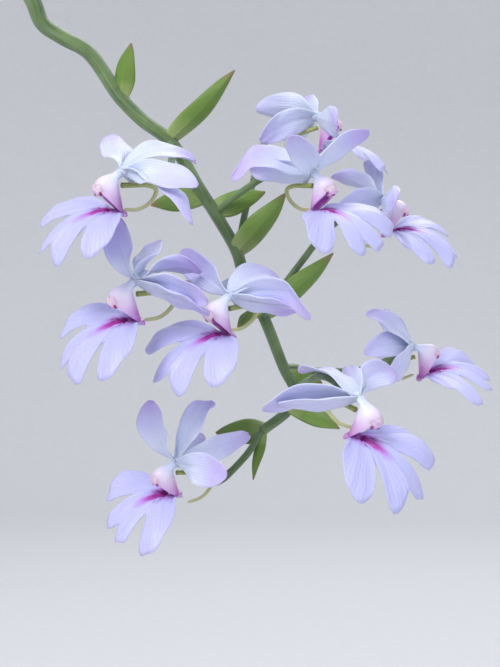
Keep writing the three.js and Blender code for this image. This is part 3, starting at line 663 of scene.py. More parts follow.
def column_tissue(settings):
    # Fleshy column and claw: white at the seat, cream-pink along the column, pink where the claw
    # meets the lip, smooth and a little glossier than the petals
    material, tree, surface = soft_tissue("live column, cream to pink", 0.35, 0.35, 1.6)
    place = add(tree, "ShaderNodeUVMap", {"uv_map": "reach_girth"})
    parts = add(tree, "ShaderNodeSeparateXYZ", {"Vector": place}).outputs
    where = add(tree, "ShaderNodeTexCoord").outputs["Object"]
    cloud = add(tree, "ShaderNodeTexNoise", {"Scale": per_mm(3), "Detail": 3, "Vector": where})
    reach = wander(tree, parts["X"], cloud, 0.3, 0.15)
    pale = add(tree, "ShaderNodeValToRGB", {"Fac": reach, "stops": [
        (0.0, settings.petal_middle), (0.45, settings.column_body), (1.0, settings.column_tip)]})
    flushed = add(tree, "ShaderNodeValToRGB", {"Fac": reach, "stops": [
        (0.0, settings.petal_middle), (0.3, settings.column_tip), (0.62, settings.claw_pink),
        (0.95, settings.throat_edge)]})
    under = add(tree, "ShaderNodeMapRange", {
        "interpolation_type": "SMOOTHSTEP", "From Min": 0.3, "From Max": 0.85, "Value": parts["Y"]})
    colour = add(tree, "ShaderNodeMix", {"data_type": "RGBA", 0: under, 6: pale, 7: flushed})
    dress(tree, surface, colour.outputs[2], cloud, 0.15, 0.5)
    return material


def throat_tissue(settings):
    # Lining of the throat: pink at the rim and under the column, deep magenta further in and
    # towards the claw, smooth and moist
    material, tree, surface = soft_tissue("live throat lining, magenta", 0.3, 0.3, 1.2)
    place = add(tree, "ShaderNodeUVMap", {"uv_map": "reach_girth"})
    parts = add(tree, "ShaderNodeSeparateXYZ", {"Vector": place}).outputs
    where = add(tree, "ShaderNodeTexCoord").outputs["Object"]
    cloud = add(tree, "ShaderNodeTexNoise", {"Scale": per_mm(2), "Detail": 3, "Vector": where})
    rim = add(tree, "ShaderNodeMapRange", {
        "From Min": 0.6, "From Max": 0.96, "Value": parts["X"]})
    above = add(tree, "ShaderNodeMapRange", {
        "From Min": 0.8, "From Max": 0.3, "Value": parts["Y"]})
    pale = add(tree, "ShaderNodeMath", {"operation": "MAXIMUM", 0: rim, 1: above})
    wash = add(tree, "ShaderNodeValToRGB", {"Fac": wander(tree, pale, cloud, 0.4, 0.2), "stops": [
        (0.0, settings.throat), (0.35, settings.throat_edge), (0.75, settings.claw_pink),
        (1.0, settings.column_tip)]})
    dress(tree, surface, wash.outputs["Color"], cloud, 0.15, 0.5)
    return material


def plain_tissue(name, colour, speck, speck_mm, roughness):
    """Live tissue of one colour with cloudy specks of another."""
    material, tree, surface = soft_tissue(name, roughness, 0.3, 1.2)
    where = add(tree, "ShaderNodeTexCoord").outputs["Object"]
    cloud = add(tree, "ShaderNodeTexNoise", {
        "Scale": per_mm(speck_mm), "Detail": 4, "Vector": where})
    share = add(tree, "ShaderNodeMapRange", {"From Min": 0.4, "From Max": 0.65, "Value": cloud})
    shade = add(tree, "ShaderNodeMix", {"data_type": "RGBA", 0: share, 6: colour, 7: speck})
    dress(tree, surface, shade.outputs[2], cloud, 0.1, 0.5)
    return material


def stem_tissue(settings):
    # Green stem with very short down, which reads as sheen, and blue-grey streaks that are
    # partly waxy bloom and partly painted sheen in the colour of the stem's highlight
    material, tree, surface = soft_tissue("live stem, green with waxy bloom", 0.5, 0.15, 1.0)
    set_sheen(surface, 0.5, 0.5)
    surface.inputs["Sheen Tint"].default_value = linear("#c3cfd6")
    place = add(tree, "ShaderNodeUVMap", {"uv_map": "length_girth"})
    where = add(tree, "ShaderNodeTexCoord").outputs["Object"]
    stretch = add(tree, "ShaderNodeMapping", {"Scale": (6, 9, 1), "Vector": place})
    streaks = add(tree, "ShaderNodeTexNoise", {"Scale": 3, "Detail": 4, "Vector": stretch})
    cloud = add(tree, "ShaderNodeTexNoise", {"Scale": per_mm(9), "Detail": 4, "Vector": where})
    greens = add(tree, "ShaderNodeValToRGB", {"Fac": cloud, "stops": [
        (0.25, settings.stem_dark), (0.5, settings.stem_green), (0.75, settings.stem_light)]})
    # Blue-grey streaks over the green: partly waxy bloom, partly painted sheen
    waxy = add(tree, "ShaderNodeMapRange", {
        "From Min": 0.45, "From Max": 0.8, "To Max": 0.5, "Value": streaks})
    colour = add(tree, "ShaderNodeMix", {
        "data_type": "RGBA", 0: waxy, 6: greens, 7: settings.stem_wax_and_sheen})
    down = add(tree, "ShaderNodeTexNoise", {"Scale": per_mm(0.6), "Detail": 2, "Vector": where})
    dress(tree, surface, colour.outputs[2], down, 0.15, 0.5)
    return material


def bract_tissue(settings):
    # Leafy bract: pale at its foot, yellow-green above, with close parallel veins and a dry tip
    material, tree, surface = soft_tissue("live bract, yellow-green with dry tip", 0.42, 0.25, 1.0)
    place = add(tree, "ShaderNodeUVMap", {"uv_map": "along_across"})
    parts = add(tree, "ShaderNodeSeparateXYZ", {"Vector": place}).outputs
    where = add(tree, "ShaderNodeTexCoord").outputs["Object"]
    cloud = add(tree, "ShaderNodeTexNoise", {"Scale": per_mm(5), "Detail": 4, "Vector": where})
    wash = add(tree, "ShaderNodeValToRGB", {"Fac": wander(tree, parts["X"], cloud, 0.3, 0.15), "stops": [
        (0.0, settings.bract_foot), (0.35, settings.bract_body), (0.85, settings.bract_body),
        (0.95, settings.bract_tip)]})
    # Thirteen veins across a bract of 8 mm
    veins = waves(tree, parts["Y"], 13)
    crest = add(tree, "ShaderNodeMapRange", {
        "From Min": 0.2, "From Max": 1.0, "To Max": 0.35, "Value": veins})
    lined = add(tree, "ShaderNodeMix", {
        "data_type": "RGBA", 0: crest, 6: wash, 7: settings.bract_vein})
    dress(tree, surface, lined.outputs[2], veins, 0.12, 0.5)
    return material


def spur_tissue(settings):
    # Slender spur: translucent yellow-green, paler towards its blunt end
    material, tree, surface = soft_tissue("live spur, yellow-green", 0.35, 0.35, 1.0)
    place = add(tree, "ShaderNodeUVMap", {"uv_map": "length_girth"})
    parts = add(tree, "ShaderNodeSeparateXYZ", {"Vector": place}).outputs
    where = add(tree, "ShaderNodeTexCoord").outputs["Object"]
    cloud = add(tree, "ShaderNodeTexNoise", {"Scale": per_mm(2), "Detail": 3, "Vector": where})
    wash = add(tree, "ShaderNodeValToRGB", {"Fac": wander(tree, parts["X"], cloud, 0.4, 0.2), "stops": [
        (0.0, settings.spur_root), (0.4, settings.spur_body), (1.0, settings.spur_tip)]})
    dress(tree, surface, wash.outputs["Color"], cloud, 0.1, 0.5)
    return material


def dry_sheath(settings):
    # Dead sheath: thin, papery and matt, straw-coloured with brown streaks along its fibres
    material, tree, surface = start_material("dry sheath, papery straw", 0.7, 1.45)
    where = add(tree, "ShaderNodeTexCoord").outputs["Object"]
    # Fibres 0.8 mm apart, stretched eight times up the plant
    stretch = add(tree, "ShaderNodeMapping", {"Scale": (1, 1, 0.125), "Vector": where})
    fibres = add(tree, "ShaderNodeTexNoise", {"Scale": per_mm(0.8), "Detail": 5, "Vector": stretch})
    colour = add(tree, "ShaderNodeValToRGB", {"Fac": fibres, "stops": [
        (0.3, settings.sheath_brown), (0.5, settings.sheath_straw), (0.72, settings.bulb_fibre)]})
    dress(tree, surface, colour.outputs["Color"], fibres, 0.3, 0.7)
    return material


def bulb_skin(settings):
    # Old bulb skin: dull grey-green, with dry papery fibres in silvery streaks up its ribs
    material, tree, surface = start_material("bulb skin, grey-green with dry fibres", 0.6, 1.45)
    place = add(tree, "ShaderNodeUVMap", {"uv_map": "length_girth"})
    where = add(tree, "ShaderNodeTexCoord").outputs["Object"]
    # Fibres a millimetre apart round a girth of 120 mm, and long up the bulb
    stretch = add(tree, "ShaderNodeMapping", {"Scale": (2.2, 60, 1), "Vector": place})
    fibres = add(tree, "ShaderNodeTexNoise", {
        "Scale": 2, "Detail": 5, "Distortion": 0.4, "Vector": stretch})
    patches = add(tree, "ShaderNodeTexNoise", {"Scale": per_mm(16), "Detail": 5, "Vector": where})
    greens = add(tree, "ShaderNodeValToRGB", {"Fac": patches, "stops": [
        (0.3, settings.bulb_dark), (0.52, settings.bulb_green), (0.75, settings.bulb_pale)]})
    share = add(tree, "ShaderNodeMapRange", {
        "From Min": 0.52, "From Max": 0.66, "To Max": 0.55, "Value": fibres})
    fibred = add(tree, "ShaderNodeMix", {
        "data_type": "RGBA", 0: share, 6: greens, 7: settings.bulb_fibre})
    # A brown ring where each old leaf fell off
    black, white = linear("#000000"), linear("#ffffff")
    rings = []
    for node in BULB_NODES:
        rings += [(node - 0.012, black), (node + 0.004, white), (node + 0.02, black)]
    parts = add(tree, "ShaderNodeSeparateXYZ", {"Vector": place}).outputs
    scars = add(tree, "ShaderNodeValToRGB", {"Fac": parts["X"], "stops": rings})
    worn = add(tree, "ShaderNodeMath", {"operation": "MULTIPLY", 0: scars, 1: patches})
    colour = add(tree, "ShaderNodeMix", {
        "data_type": "RGBA", 0: worn, 6: fibred.outputs[2], 7: settings.sheath_brown})
    dress(tree, surface, colour.outputs[2], fibres, 0.5, 0.7)
    return material


def terracotta(settings):
    # Thrown and fired clay, unglazed: warm orange-brown, chalky, with turning lines round it and
    # white lime that water has drawn out at its foot and rim
    material, tree, surface = start_material("terracotta, thrown and fired", 0.88)
    where = add(tree, "ShaderNodeTexCoord").outputs["Object"]
    up = add(tree, "ShaderNodeSeparateXYZ", {"Vector": where}).outputs["Z"]
    cloud = add(tree, "ShaderNodeTexNoise", {
        "Scale": per_mm(28), "Detail": 6, "Roughness": 0.6, "Vector": where})
    clay = add(tree, "ShaderNodeValToRGB", {"Fac": cloud, "stops": [
        (0.3, settings.clay_dark), (0.55, settings.clay), (0.75, settings.clay_light)]})
    # Lime shows below 45 mm and above 82 mm
    foot = add(tree, "ShaderNodeMapRange", {"From Min": 0.045, "From Max": 0.0, "Value": up})
    rim = add(tree, "ShaderNodeMapRange", {"From Min": 0.082, "From Max": 0.095, "Value": up})
    wet = add(tree, "ShaderNodeMath", {"operation": "MAXIMUM", 0: foot, 1: rim})
    patch = add(tree, "ShaderNodeTexNoise", {
        "Scale": per_mm(11), "Detail": 8, "Roughness": 0.7, "Vector": where})
    crust = add(tree, "ShaderNodeMapRange", {"From Min": 0.5, "From Max": 0.72, "Value": patch})
    lime = add(tree, "ShaderNodeMath", {"operation": "MULTIPLY", 0: wet, 1: crust})
    thin = add(tree, "ShaderNodeMath", {"operation": "MULTIPLY", 0: lime, 1: 0.6})
    colour = add(tree, "ShaderNodeMix", {"data_type": "RGBA", 0: thin, 6: clay, 7: settings.lime})
    # Turning lines 1.6 mm apart up the wall, and grog of about 0.8 mm
    lines = waves(tree, up, per_mm(1.6))
    grog = add(tree, "ShaderNodeTexNoise", {"Scale": per_mm(0.8), "Detail": 4, "Vector": where})
    height = add(tree, "ShaderNodeMath", {"operation": "MULTIPLY_ADD", 0: lines, 1: 0.12, 2: grog})
    dress(tree, surface, colour.outputs[2], height, 0.25, 0.6)
    return material


def bark(settings):
    # Graded conifer bark: dark red-brown chips, each of its own shade, with a paler grain
    material, tree, surface = start_material("conifer bark, graded chips", 0.9)
    where = add(tree, "ShaderNodeTexCoord").outputs["Object"]
    tone = add(tree, "ShaderNodeUVMap", {"uv_map": "tone"})
    parts = add(tree, "ShaderNodeSeparateXYZ", {"Vector": tone}).outputs
    grain = add(tree, "ShaderNodeTexNoise", {
        "Scale": per_mm(2.5), "Detail": 6, "Distortion": 1.2, "Vector": where})
    both = add(tree, "ShaderNodeMath", {
        "operation": "MULTIPLY_ADD", 0: parts["X"], 1: 0.55, 2: grain})
    shade = add(tree, "ShaderNodeMapRange", {"From Min": 0.35, "From Max": 1.1, "Value": both})
    colour = add(tree, "ShaderNodeValToRGB", {"Fac": shade, "stops": [
        (0.0, settings.bark_dark), (0.5, settings.bark_brown), (1.0, settings.bark_light)]})
    dress(tree, surface, colour.outputs["Color"], grain, 0.8, 0.8)
    return material


def studio_paper(settings):
    # Roll of matt background paper: no gloss at all, with a barely uneven surface
    material, tree, surface = start_material("background paper, matt", 1.0)
    surface.inputs["Specular IOR Level"].default_value = 0.1
    where = add(tree, "ShaderNodeTexCoord").outputs["Object"]
    fibre = add(tree, "ShaderNodeTexNoise", {"Scale": per_mm(12), "Detail": 3, "Vector": where})
    shade = add(tree, "ShaderNodeMix", {
        "data_type": "RGBA", 0: fibre, 6: settings.paper, 7: settings.paper_shade})
    tree.links.new(shade.outputs[2], surface.inputs["Base Color"])
    return material


# Shapes of the plant

def ovate(share, fullest, bluntness):
    """Width of a blade at a share of its length, 1 at its fullest point."""
    rise = bluntness * fullest / (1 - fullest)
    return (share / fullest) ** rise * ((1 - share) / (1 - fullest)) ** bluntness


def leaf(rows, thickness):
    """A blade from its rows of points, thinner at its margins and at its tip."""
    last_row, last_column = len(rows) - 1, len(rows[0]) - 1

    def thickness_at(i, j):
        side = abs(j / last_column * 2 - 1)
        thinned = thickness * (1 - MARGIN_THINNING * side ** 3)
        return thinned * (1 - TIP_THINNING * (i / last_row) ** 4)
    return blade(rows, thickness_at, lambda i, j: {"along_across": (i / last_row, j / last_column)})


def bloom_axes(bloom):
    """A bloom's own axes, forward, across and up, as a matrix."""
    x = Vector(bloom["forward"]).normalized()
    z = Vector(bloom["up"])
    z = (z - x * z.dot(x)).normalized()
    return Matrix((x, z.cross(x), z)).transposed()


def in_bloom(bloom, shell, size=1.0):
    """A shell from a bloom's own axes to the plant's."""
    axes, seat = bloom_axes(bloom), Vector(bloom["seat"])
    points, faces, corners = shell
    return [seat + axes @ (p * size) for p in points], faces, corners


def tepal(numbers, width, fullest, down, settings, seed):
    """One petal or sepal in its bloom's axes, with a channel and softly waved margins."""
    azimuth, reflex, curl, droop, length, roll, hook = (*numbers, 0)[:7]
    chance = random.Random(seed)
    phase, beats, swell = chance.uniform(0, TAU), chance.uniform(1.6, 2.4), chance.uniform(0.6, 1.2)
    around, lean = math.radians(azimuth), math.radians(reflex)
    out = Vector((0, math.sin(around), math.cos(around)))
    across = Vector((0, math.cos(around), -math.sin(around)))
    back = Vector((-1, 0, 0))
    spine = out * (BLADE_START * math.cos(lean)) + back * (BLADE_START * math.sin(lean))
    steps = settings.blade_steps
    step, half_turn = (length + BLADE_LEAD) / steps, math.radians(curl) / steps / 2
    rows = []
    for i in range(steps + 1):
        t = i / steps
        outline = ovate(mix(*BLADE_OUTLINE_FROM_TO, t), fullest, BLADE_BLUNTNESS)
        half = width / 2 * max(outline, BLADE_FOOT_SHARE * (1 - t))
        heading = out * math.cos(lean) + back * math.sin(lean)
        turn = Matrix.Rotation(math.radians(roll) * smoothstep(t, 0, ROLL_DONE), 3, heading)
        broad = turn @ across
        face = turn @ (out * math.sin(lean) - back * math.cos(lean))
        sag = droop * t * t + hook * smoothstep(t, HOOK_START, 1)
        row = []
        for j in range(BLADE_STRIPS + 1):
            side = j / BLADE_STRIPS * 2 - 1
            waved = swell * MARGIN_WAVE * side * side * math.sin(TAU * beats * t + phase * side)
            channel = CHANNEL_DEPTH * math.exp(-(side / CHANNEL_WIDTH) ** 2) * (1 - t)
            lift = half * BLADE_CUPPING * side * side
            lift += waved * smoothstep(t, 0.1, 0.5) - channel * smoothstep(t, 0.02, 0.2)
            row.append(spine + down * sag + broad * (half * side) + face * lift + back * RECEPTACLE_BACK)
        rows.append(row)
        spine = spine + out * (step * math.cos(lean + half_turn))
        spine = spine + back * (step * math.sin(lean + half_turn))
        lean += half_turn * 2
    return leaf(rows, settings.blade_thickness / MM)


def tepal_shells(bloom, number, settings):
    """A bloom's five tepals and the receptacle that joins them."""
    down = bloom_axes(bloom).transposed() @ Vector((0, 0, -1))
    petal, sepal = settings.petal_width / MM, settings.sepal_width / MM
    kinds = [(bloom["dorsal"], sepal, DORSAL_FULLEST)]
    kinds += [(each, petal, PETAL_FULLEST) for each in bloom["petals"]]
    kinds += [(each, sepal, SEPAL_FULLEST) for each in bloom["sepals"]]
    shells = [tepal(*kind, down, settings, number * 10 + k) for k, kind in enumerate(kinds)]
    shells.append(lump(Vector((-RECEPTACLE_BACK - 0.5, 0, 0)), KNOB_SIZE, Matrix.Identity(3)))
    return [in_bloom(bloom, shell) for shell in shells]


def lip_rays(seed):
    """The lip's whole outline as (angle in radians, radius), dense, smooth and a little uneven."""
    half = LIP_OUTLINE + [(180, LIP_BACK_RADIUS)]
    spots = [(-a, r) for a, r in half[:0:-1]] + half
    rays = []
    for k in range(len(spots) - 1):
        before, after = spots[max(k - 1, 0)], spots[min(k + 2, len(spots) - 1)]
        (a0, r0), (a1, r1) = spots[k], spots[k + 1]
        span = a1 - a0
        slope0 = (r1 - before[1]) / max(a1 - before[0], 1) * span
        slope1 = (after[1] - r0) / max(after[0] - a0, 1) * span
        for step in range(LIP_FINENESS):
            w = step / LIP_FINENESS
            r = (2 * w ** 3 - 3 * w ** 2 + 1) * r0 + (w ** 3 - 2 * w ** 2 + w) * slope0
            r += (3 * w ** 2 - 2 * w ** 3) * r1 + (w ** 3 - w ** 2) * slope1
            angle = math.radians(a0 + span * w)
            uneven = 0.016 * math.sin(angle * 23 + seed) + 0.025 * math.sin(angle * 3 + seed)
            rays.append((angle, r * (1 + uneven * smoothstep(r, 10, 22))))
    return rays


def lip_height(x, y):
    """Height of the lip's smooth form over its plan, in the bloom's axes."""
    past = x - LIP_CREST[0]
    fall = LIP_FRONT_FALL if past > 0 else LIP_BACK_FALL
    return LIP_CREST[1] - fall * past * past - LIP_SIDE_FALL * (x - LIP_LEVEL_AT) * y * y


def lobe_share(angle):
    """How near an angle is to the middle of its lobe: 1 there and 0 at the clefts."""
    degrees = abs(math.degrees(angle))
    return max(
        math.cos(min(abs(degrees - middle) / spread, 1) * math.pi / 2)
        for middle, spread in (SIDE_LOBE, MIDDLE_LOBE))


def lip_relief(angle, radius, share, phase):
    """How far the lip's blade stands above its smooth form, at a share of the way to its edge."""
    reach = radius * share
    x, y = LIP_CENTRE + math.cos(angle) * reach, math.sin(angle) * reach
    arch = (lobe_share(angle) - 0.5) * LOBE_ARCH * smoothstep(reach, 9, 22)
    fold = LOBE_FOLD * share * math.cos(angle * 13 + 0.4 * phase) * smoothstep(radius, 14, 22)
    waved = EDGE_WAVE * share ** 3 * math.sin(angle * 9 + phase)
    waved += FINE_WAVE * share ** 2 * math.sin(angle * 31 + phase)
    tip = -LOBE_TIP_FALL * smoothstep(share, 0.82, 1) * smoothstep(radius, 20, 27)
    # Three keels side by side: a wave across the lip that stops after its third crest
    keels = KEEL_HEIGHT * math.cos(min(abs(y) / KEEL_SPACING, 1.25) * TAU)
    keels *= smoothstep(x, 6.5, 9) * smoothstep(-x, -16, -11) * smoothstep(-abs(y), -3.2, -2.4)
    beside = (abs(math.degrees(angle)) - SHOULDER_AT) / SHOULDER_WIDTH
    shoulder = SHOULDER_RISE * math.exp(-beside ** 2) * smoothstep(share, 0.35, 0.9)
    relief = arch + fold + waved + tip + keels + shoulder
    return relief * (smoothstep(reach, 1.5, 5) if radius < 8 else 1)


def lip_blade(settings, seed):
    """The lip's four-lobed blade, each lobe gently arched, with three low keels at the throat."""
    phase = random.Random(seed).uniform(0, TAU)
    rays, rings = lip_rays(phase), settings.lip_rings
    shares = [mix(LIP_RING_START, 1, i / rings) for i in range(rings + 1)]
    rows = []
    for share in shares:
        row = []
        for angle, radius in rays:
            spot = polar(angle, radius * share) + Vector((LIP_CENTRE, 0, 0))
            spot.z = lip_height(spot.x, spot.y) + lip_relief(angle, radius, share, phase)
            row.append(spot)
        rows.append(row + row[:1])

    def corner(i, j):
        angle, radius = rays[j % len(rays)]
        turn = 1 if j == len(rays) else angle / TAU + 0.5
        return {"plan": polar(angle, radius * shares[i] / LIP_PLAN)[:2], "ray": (shares[i], turn)}

    def thickness(i, j):
        return settings.blade_thickness / MM * (1 - LIP_THINNING * (i / rings) ** 4)
    return blade(rows, thickness, corner)


def funnel_ring(share, trim_top=0, trim_bottom=0, trim_side=0):
    """A ring round claw and column at a share of the way to the mouth, trimmed to lie inside."""
    def at(a, b):
        return Vector(a).lerp(Vector(b), share)
    swell = math.sin(math.pi * min(share, 1) ** SWELL_EASE)
    top, bottom = at(FUNNEL_ROOT_TOP, COLUMN_TIP), at(FUNNEL_ROOT_BOTTOM, CLAW_END)
    top = top + (top - bottom).normalized() * (COLUMN_SWELL * swell)
    upper, lower = top.lerp(bottom, trim_top), bottom.lerp(top, trim_bottom)
    middle, reach = (upper + lower) / 2, (upper - lower) / 2
    wide = mix(FUNNEL_ROOT_HALF_WIDTH, FUNNEL_MOUTH_HALF_WIDTH, share) + FUNNEL_SIDE_SWELL * swell

    def on_ring(angle):
        # The claw narrows below to a keel, and the column stays round on top
        keel = 1 - 0.35 * smoothstep(-math.cos(angle), 0.1, 1)
        spot = middle + reach * math.cos(angle)
        return Vector((spot.x, -math.sin(angle) * wide * (1 - trim_side) * keel, spot.y))
    return ring_of(FUNNEL_SIDES, on_ring)


def funnel_shells():
    """Claw and column: the outer wall with its rolled rim, and the hollow throat behind it."""
    def corner(first, last, count):
        def at(i, j):
            return {"reach_girth": (mix(first, last, i / count), 1 - abs(j / FUNNEL_SIDES * 2 - 1))}
        return at
    # The root dips into the receptacle
    wall = [ring_of(FUNNEL_SIDES, lambda angle: Vector((
        0.3 * math.cos(angle) - ROOT_BACK, -ROOT_RADIUS * math.sin(angle),
        ROOT_RADIUS * math.cos(angle))))]
    wall += [funnel_ring(i / FUNNEL_STEPS) for i in range(FUNNEL_STEPS + 1)]
    wall += [funnel_ring(*rim) for rim in RIM_RINGS]
    inside = wall[-1:]
    for i in range(THROAT_STEPS + 1):
        closing = i / THROAT_STEPS
        inside.append(funnel_ring(
            mix(1.0, MOUTH_DEPTH_SHARE, closing), mix(COLUMN_THICKNESS, 0.4, closing),
            mix(CLAW_WALL, 0.35, closing), CLAW_WALL * 2 + 0.3 * closing))
    return (
        skin(wall, True, corner(0, 1, len(wall) - 1), closed_start=True),
        skin(inside, True, corner(1, 0.4, len(inside) - 1), closed_end=True))


def column_trimmings():
    """The anther cap under the column's tip with its dark spots, and the fold behind the claw."""
    tilt = Matrix.Rotation(math.radians(CAP_TILT), 3, "Y")
    middle = Vector((COLUMN_TIP[0] - CAP_INSET, 0, COLUMN_TIP[1] - CAP_INSET))
    spots = [
        lump(middle + tilt @ Vector(place), size, tilt, rough=0.5) for place, size in CAP_SPOTS]
    behind = Vector((CLAW_END[0] + 0.1, 0, CLAW_END[1] + 1.2))
    return (
        lump(middle, CAP_SIZE, tilt, rings=16, sides=24, rough=0.12), spots,
        lump(behind, FOLD_SIZE, tilt, rings=12, sides=18, rough=0.3))


def spur_shell(bloom):
    """A bent spur, bowed to one side, that thins towards its blunt end."""
    side, up = bloom["spur_end"]
    last = len(SPUR_PATH) - 1
    points = [Vector((x, side * k / last, z + up * k / last)) for k, (x, z) in enumerate(SPUR_PATH)]

    def radius(t, angle):
        past = max(t - SPUR_BLUNT_FROM, 0) / (1 - SPUR_BLUNT_FROM)
        blunt = math.sqrt(max(1 - past ** 2, 0.08))
        return mix(SPUR_ROOT_RADIUS, SPUR_TIP_RADIUS, t) * blunt
    return in_bloom(bloom, tube(lambda t: spline(points, t), radius, 60, 14), bloom["size"])


def scape_radius(share):
    if share < SCAPE_MIDDLE_SHARE:
        return mix(SCAPE_FOOT_RADIUS, SCAPE_MIDDLE_RADIUS, share / SCAPE_MIDDLE_SHARE)
    past = (share - SCAPE_MIDDLE_SHARE) / (1 - SCAPE_MIDDLE_SHARE)
    return mix(SCAPE_MIDDLE_RADIUS, SCAPE_END_RADIUS, past)


def scape_point(share):
    return spline([Vector(p) for p in SCAPE_PATH], share)


def scape_shell():
    """The scape's ribbed rod, from the mix to the raceme's end."""
    def radius(t, angle):
        ribs = 1 + SCAPE_RIB * math.cos(6 * angle) + 0.02 * math.cos(11 * angle + 9 * t)
        return scape_radius(t) * ribs
    return tube(scape_point, radius, (len(SCAPE_PATH) - 1) * 9, 24)


def measure_scape():
    """The curve's share at a share of the scape's length, as a function, and that length."""
    spots = [scape_point(k / SCAPE_SAMPLES) for k in range(SCAPE_SAMPLES + 1)]
    lengths = [0.0]
    for before, here in zip(spots, spots[1:]):
        lengths.append(lengths[-1] + (here - before).length)

    def share_at(length_share):
        wanted = length_share * lengths[-1]
        k = next((n for n, length in enumerate(lengths) if length >= wanted and n), SCAPE_SAMPLES)
        return (k - (lengths[k] - wanted) / (lengths[k] - lengths[k - 1])) / SCAPE_SAMPLES
    return share_at, lengths[-1]


def sheath_shell(start, length):
    """A dry sheath that clasps the scape and ends in a slanting, pointed mouth."""
    share_at, whole = measure_scape()
    inner = scape_radius(share_at(start))
    side = Vector((0, 1, 0))

    def centre(t):
        return scape_point(share_at(start + length / whole * t))

    def on_sheath(angle, share):
        t = share * (1 - SHEATH_SLANT * (0.5 - 0.5 * math.cos(angle)))
        heading = (centre(min(t + 0.02, 1)) - centre(max(t - 0.02, 0))).normalized()
        normal = side.cross(heading).normalized()
        pleats = 0.9 + 0.1 * math.cos(9 * angle)
        radius = inner + SHEATH_CLEARANCE * (1 - SHEATH_TAPER * t) * pleats
        return centre(t) + (normal * math.cos(angle) + side * math.sin(angle)) * radius
    rows = [
        ring_of(SHEATH_SIDES, lambda angle: on_sheath(angle, i / SHEATH_STEPS))
        for i in range(SHEATH_STEPS + 1)]
    return skin(rows, True, length_girth(SHEATH_STEPS, SHEATH_SIDES), closed_end=True)


def bract_shell(foot, tip, width, face, number, settings):
    """A leafy bract, arched, cupped and folded along its middle."""
    phase = random.Random(400 + number).uniform(0, TAU)
    start, along = Vector(foot), Vector(tip) - Vector(foot)
    length = along.length
    along.normalize()
    across = along.cross(Vector(face)).normalized()
    outward = across.cross(along)
    rows = []
    for i in range(BRACT_STEPS + 1):
        t = i / BRACT_STEPS
        outline = ovate(mix(0.12, 0.99, t), BRACT_FULLEST, BRACT_BLUNTNESS)
        half = width / 2 * max(outline, 0.05)
        arch = math.sin(math.pi * t) * length * BRACT_ARCH
        row = []
        for j in range(BRACT_STRIPS + 1):
            side = j / BRACT_STRIPS * 2 - 1
            fold = BRACT_FOLD * math.exp(-(side / BRACT_FOLD_WIDTH) ** 2) * (1 - t)
            waved = BRACT_WAVE * side * side * math.sin(TAU * 1.5 * t + phase)
            lift = arch - half * BRACT_CUPPING * side * side + fold + waved
            row.append(start + along * (length * t) + across * (half * side) + outward * lift)
        rows.append(row)
    return leaf(rows, settings.bract_thickness / MM)


def pedicel_shell(bloom):
    """A flower stalk and the six-ribbed ovary that ends it, just short of the bloom."""
    back = Vector(bloom["ovary"]).normalized()
    seat, joint = Vector(bloom["seat"]), Vector(bloom["node"])
    end = seat + back * (RECEPTACLE_RADIUS + OVARY_GAP)
    neck = seat + back * OVARY_LENGTH
    points = [joint, (neck + joint) / 2 + back * 2, neck, end]

    def radius(t, angle):
        if t < OVARY_NECK_FROM:
            plain = mix(PEDICEL_RADIUS, OVARY_RADIUS, smoothstep(t, 0.45, 0.7))
        else:
            past = (t - OVARY_NECK_FROM) / (1 - OVARY_NECK_FROM)
            plain = mix(OVARY_RADIUS, OVARY_NECK_RADIUS, past)
        return plain * (1 + OVARY_RIB * smoothstep(t, 0.4, 0.6) * math.cos(6 * angle + 5 * t))
    return tube(lambda t: spline(points, t), radius, 44, 24)


def bulb_profile(share):
    """Height and radius at a share of the bulb's side, both as shares, in x and y."""
    return spline([Vector((up, wide, 0)) for up, wide in BULB_PROFILE], share)


def bulb_ribs(angle):
    """The share of a bulb's radius that its ribs leave at an angle."""
    return 1 - BULB_RIB_DEPTH * (0.5 + 0.5 * math.cos(BULB_RIBS * angle))


def bulb_shell(foot, height, radius, turn, number):
    """A ribbed bulb with the ring scars of its old leaves."""
    rows = []
    for i in range(BULB_STEPS + 1):
        spot = bulb_profile(i / BULB_STEPS)
        # Each scar is a low ridge with a groove above it
        scar = 0
        for place in BULB_NODES:
            scar += math.exp(-((spot.x - place) / SCAR_WIDTH) ** 2)
            scar -= GROOVE_DEPTH * math.exp(-((spot.x - place - GROOVE_ABOVE) / GROOVE_WIDTH) ** 2)

        def on_bulb(angle):
            wrinkle = BULB_WRINKLE * math.sin(23 * angle + 3 * math.sin(9 * spot.x + number))
            relief = 1 + wrinkle + SCAR_HEIGHT * scar
            reach = radius * max(spot.y, 0.05) * bulb_ribs(angle) * relief
            return Vector(foot) + polar(angle + turn, reach, height * spot.x)
        rows.append(ring_of(BULB_SIDES, on_bulb))

    def corner(i, j):
        return {"length_girth": (bulb_profile(i / BULB_STEPS).x, j / BULB_SIDES)}
    return skin(rows, True, corner, True, True)


def collar_shell(foot, height, radius, turn, number):
    """Dry, torn sheath that still wraps the lower part of a bulb."""
    spots = [bulb_profile(k / 60) for k in range(61)]
    rows = []
    for i in range(COLLAR_STEPS + 1):
        out = i / COLLAR_STEPS
        row = []
        for j in range(BULB_SIDES + 1):
            angle = TAU * j / BULB_SIDES
            edge = polar(angle, 1.6, number * 3.1)
            torn = noise.noise(edge) * COLLAR_TEAR + noise.noise(edge * 5) * COLLAR_FRAY
            share = COLLAR_FOOT + (COLLAR_RISE + torn) * out
            wide = max(spot.y for spot in spots if abs(spot.x - share) < 0.02)
            reach = radius * wide * bulb_ribs(angle) + COLLAR_CLEARANCE
            reach += COLLAR_FLARE * out ** 3 + COLLAR_CRINKLE * math.cos(31 * angle)
            row.append(Vector(foot) + polar(angle + turn, reach, height * share))
        rows.append(row)
    return blade(rows, lambda i, j: COLLAR_THICKNESS, length_girth(COLLAR_STEPS, BULB_SIDES))


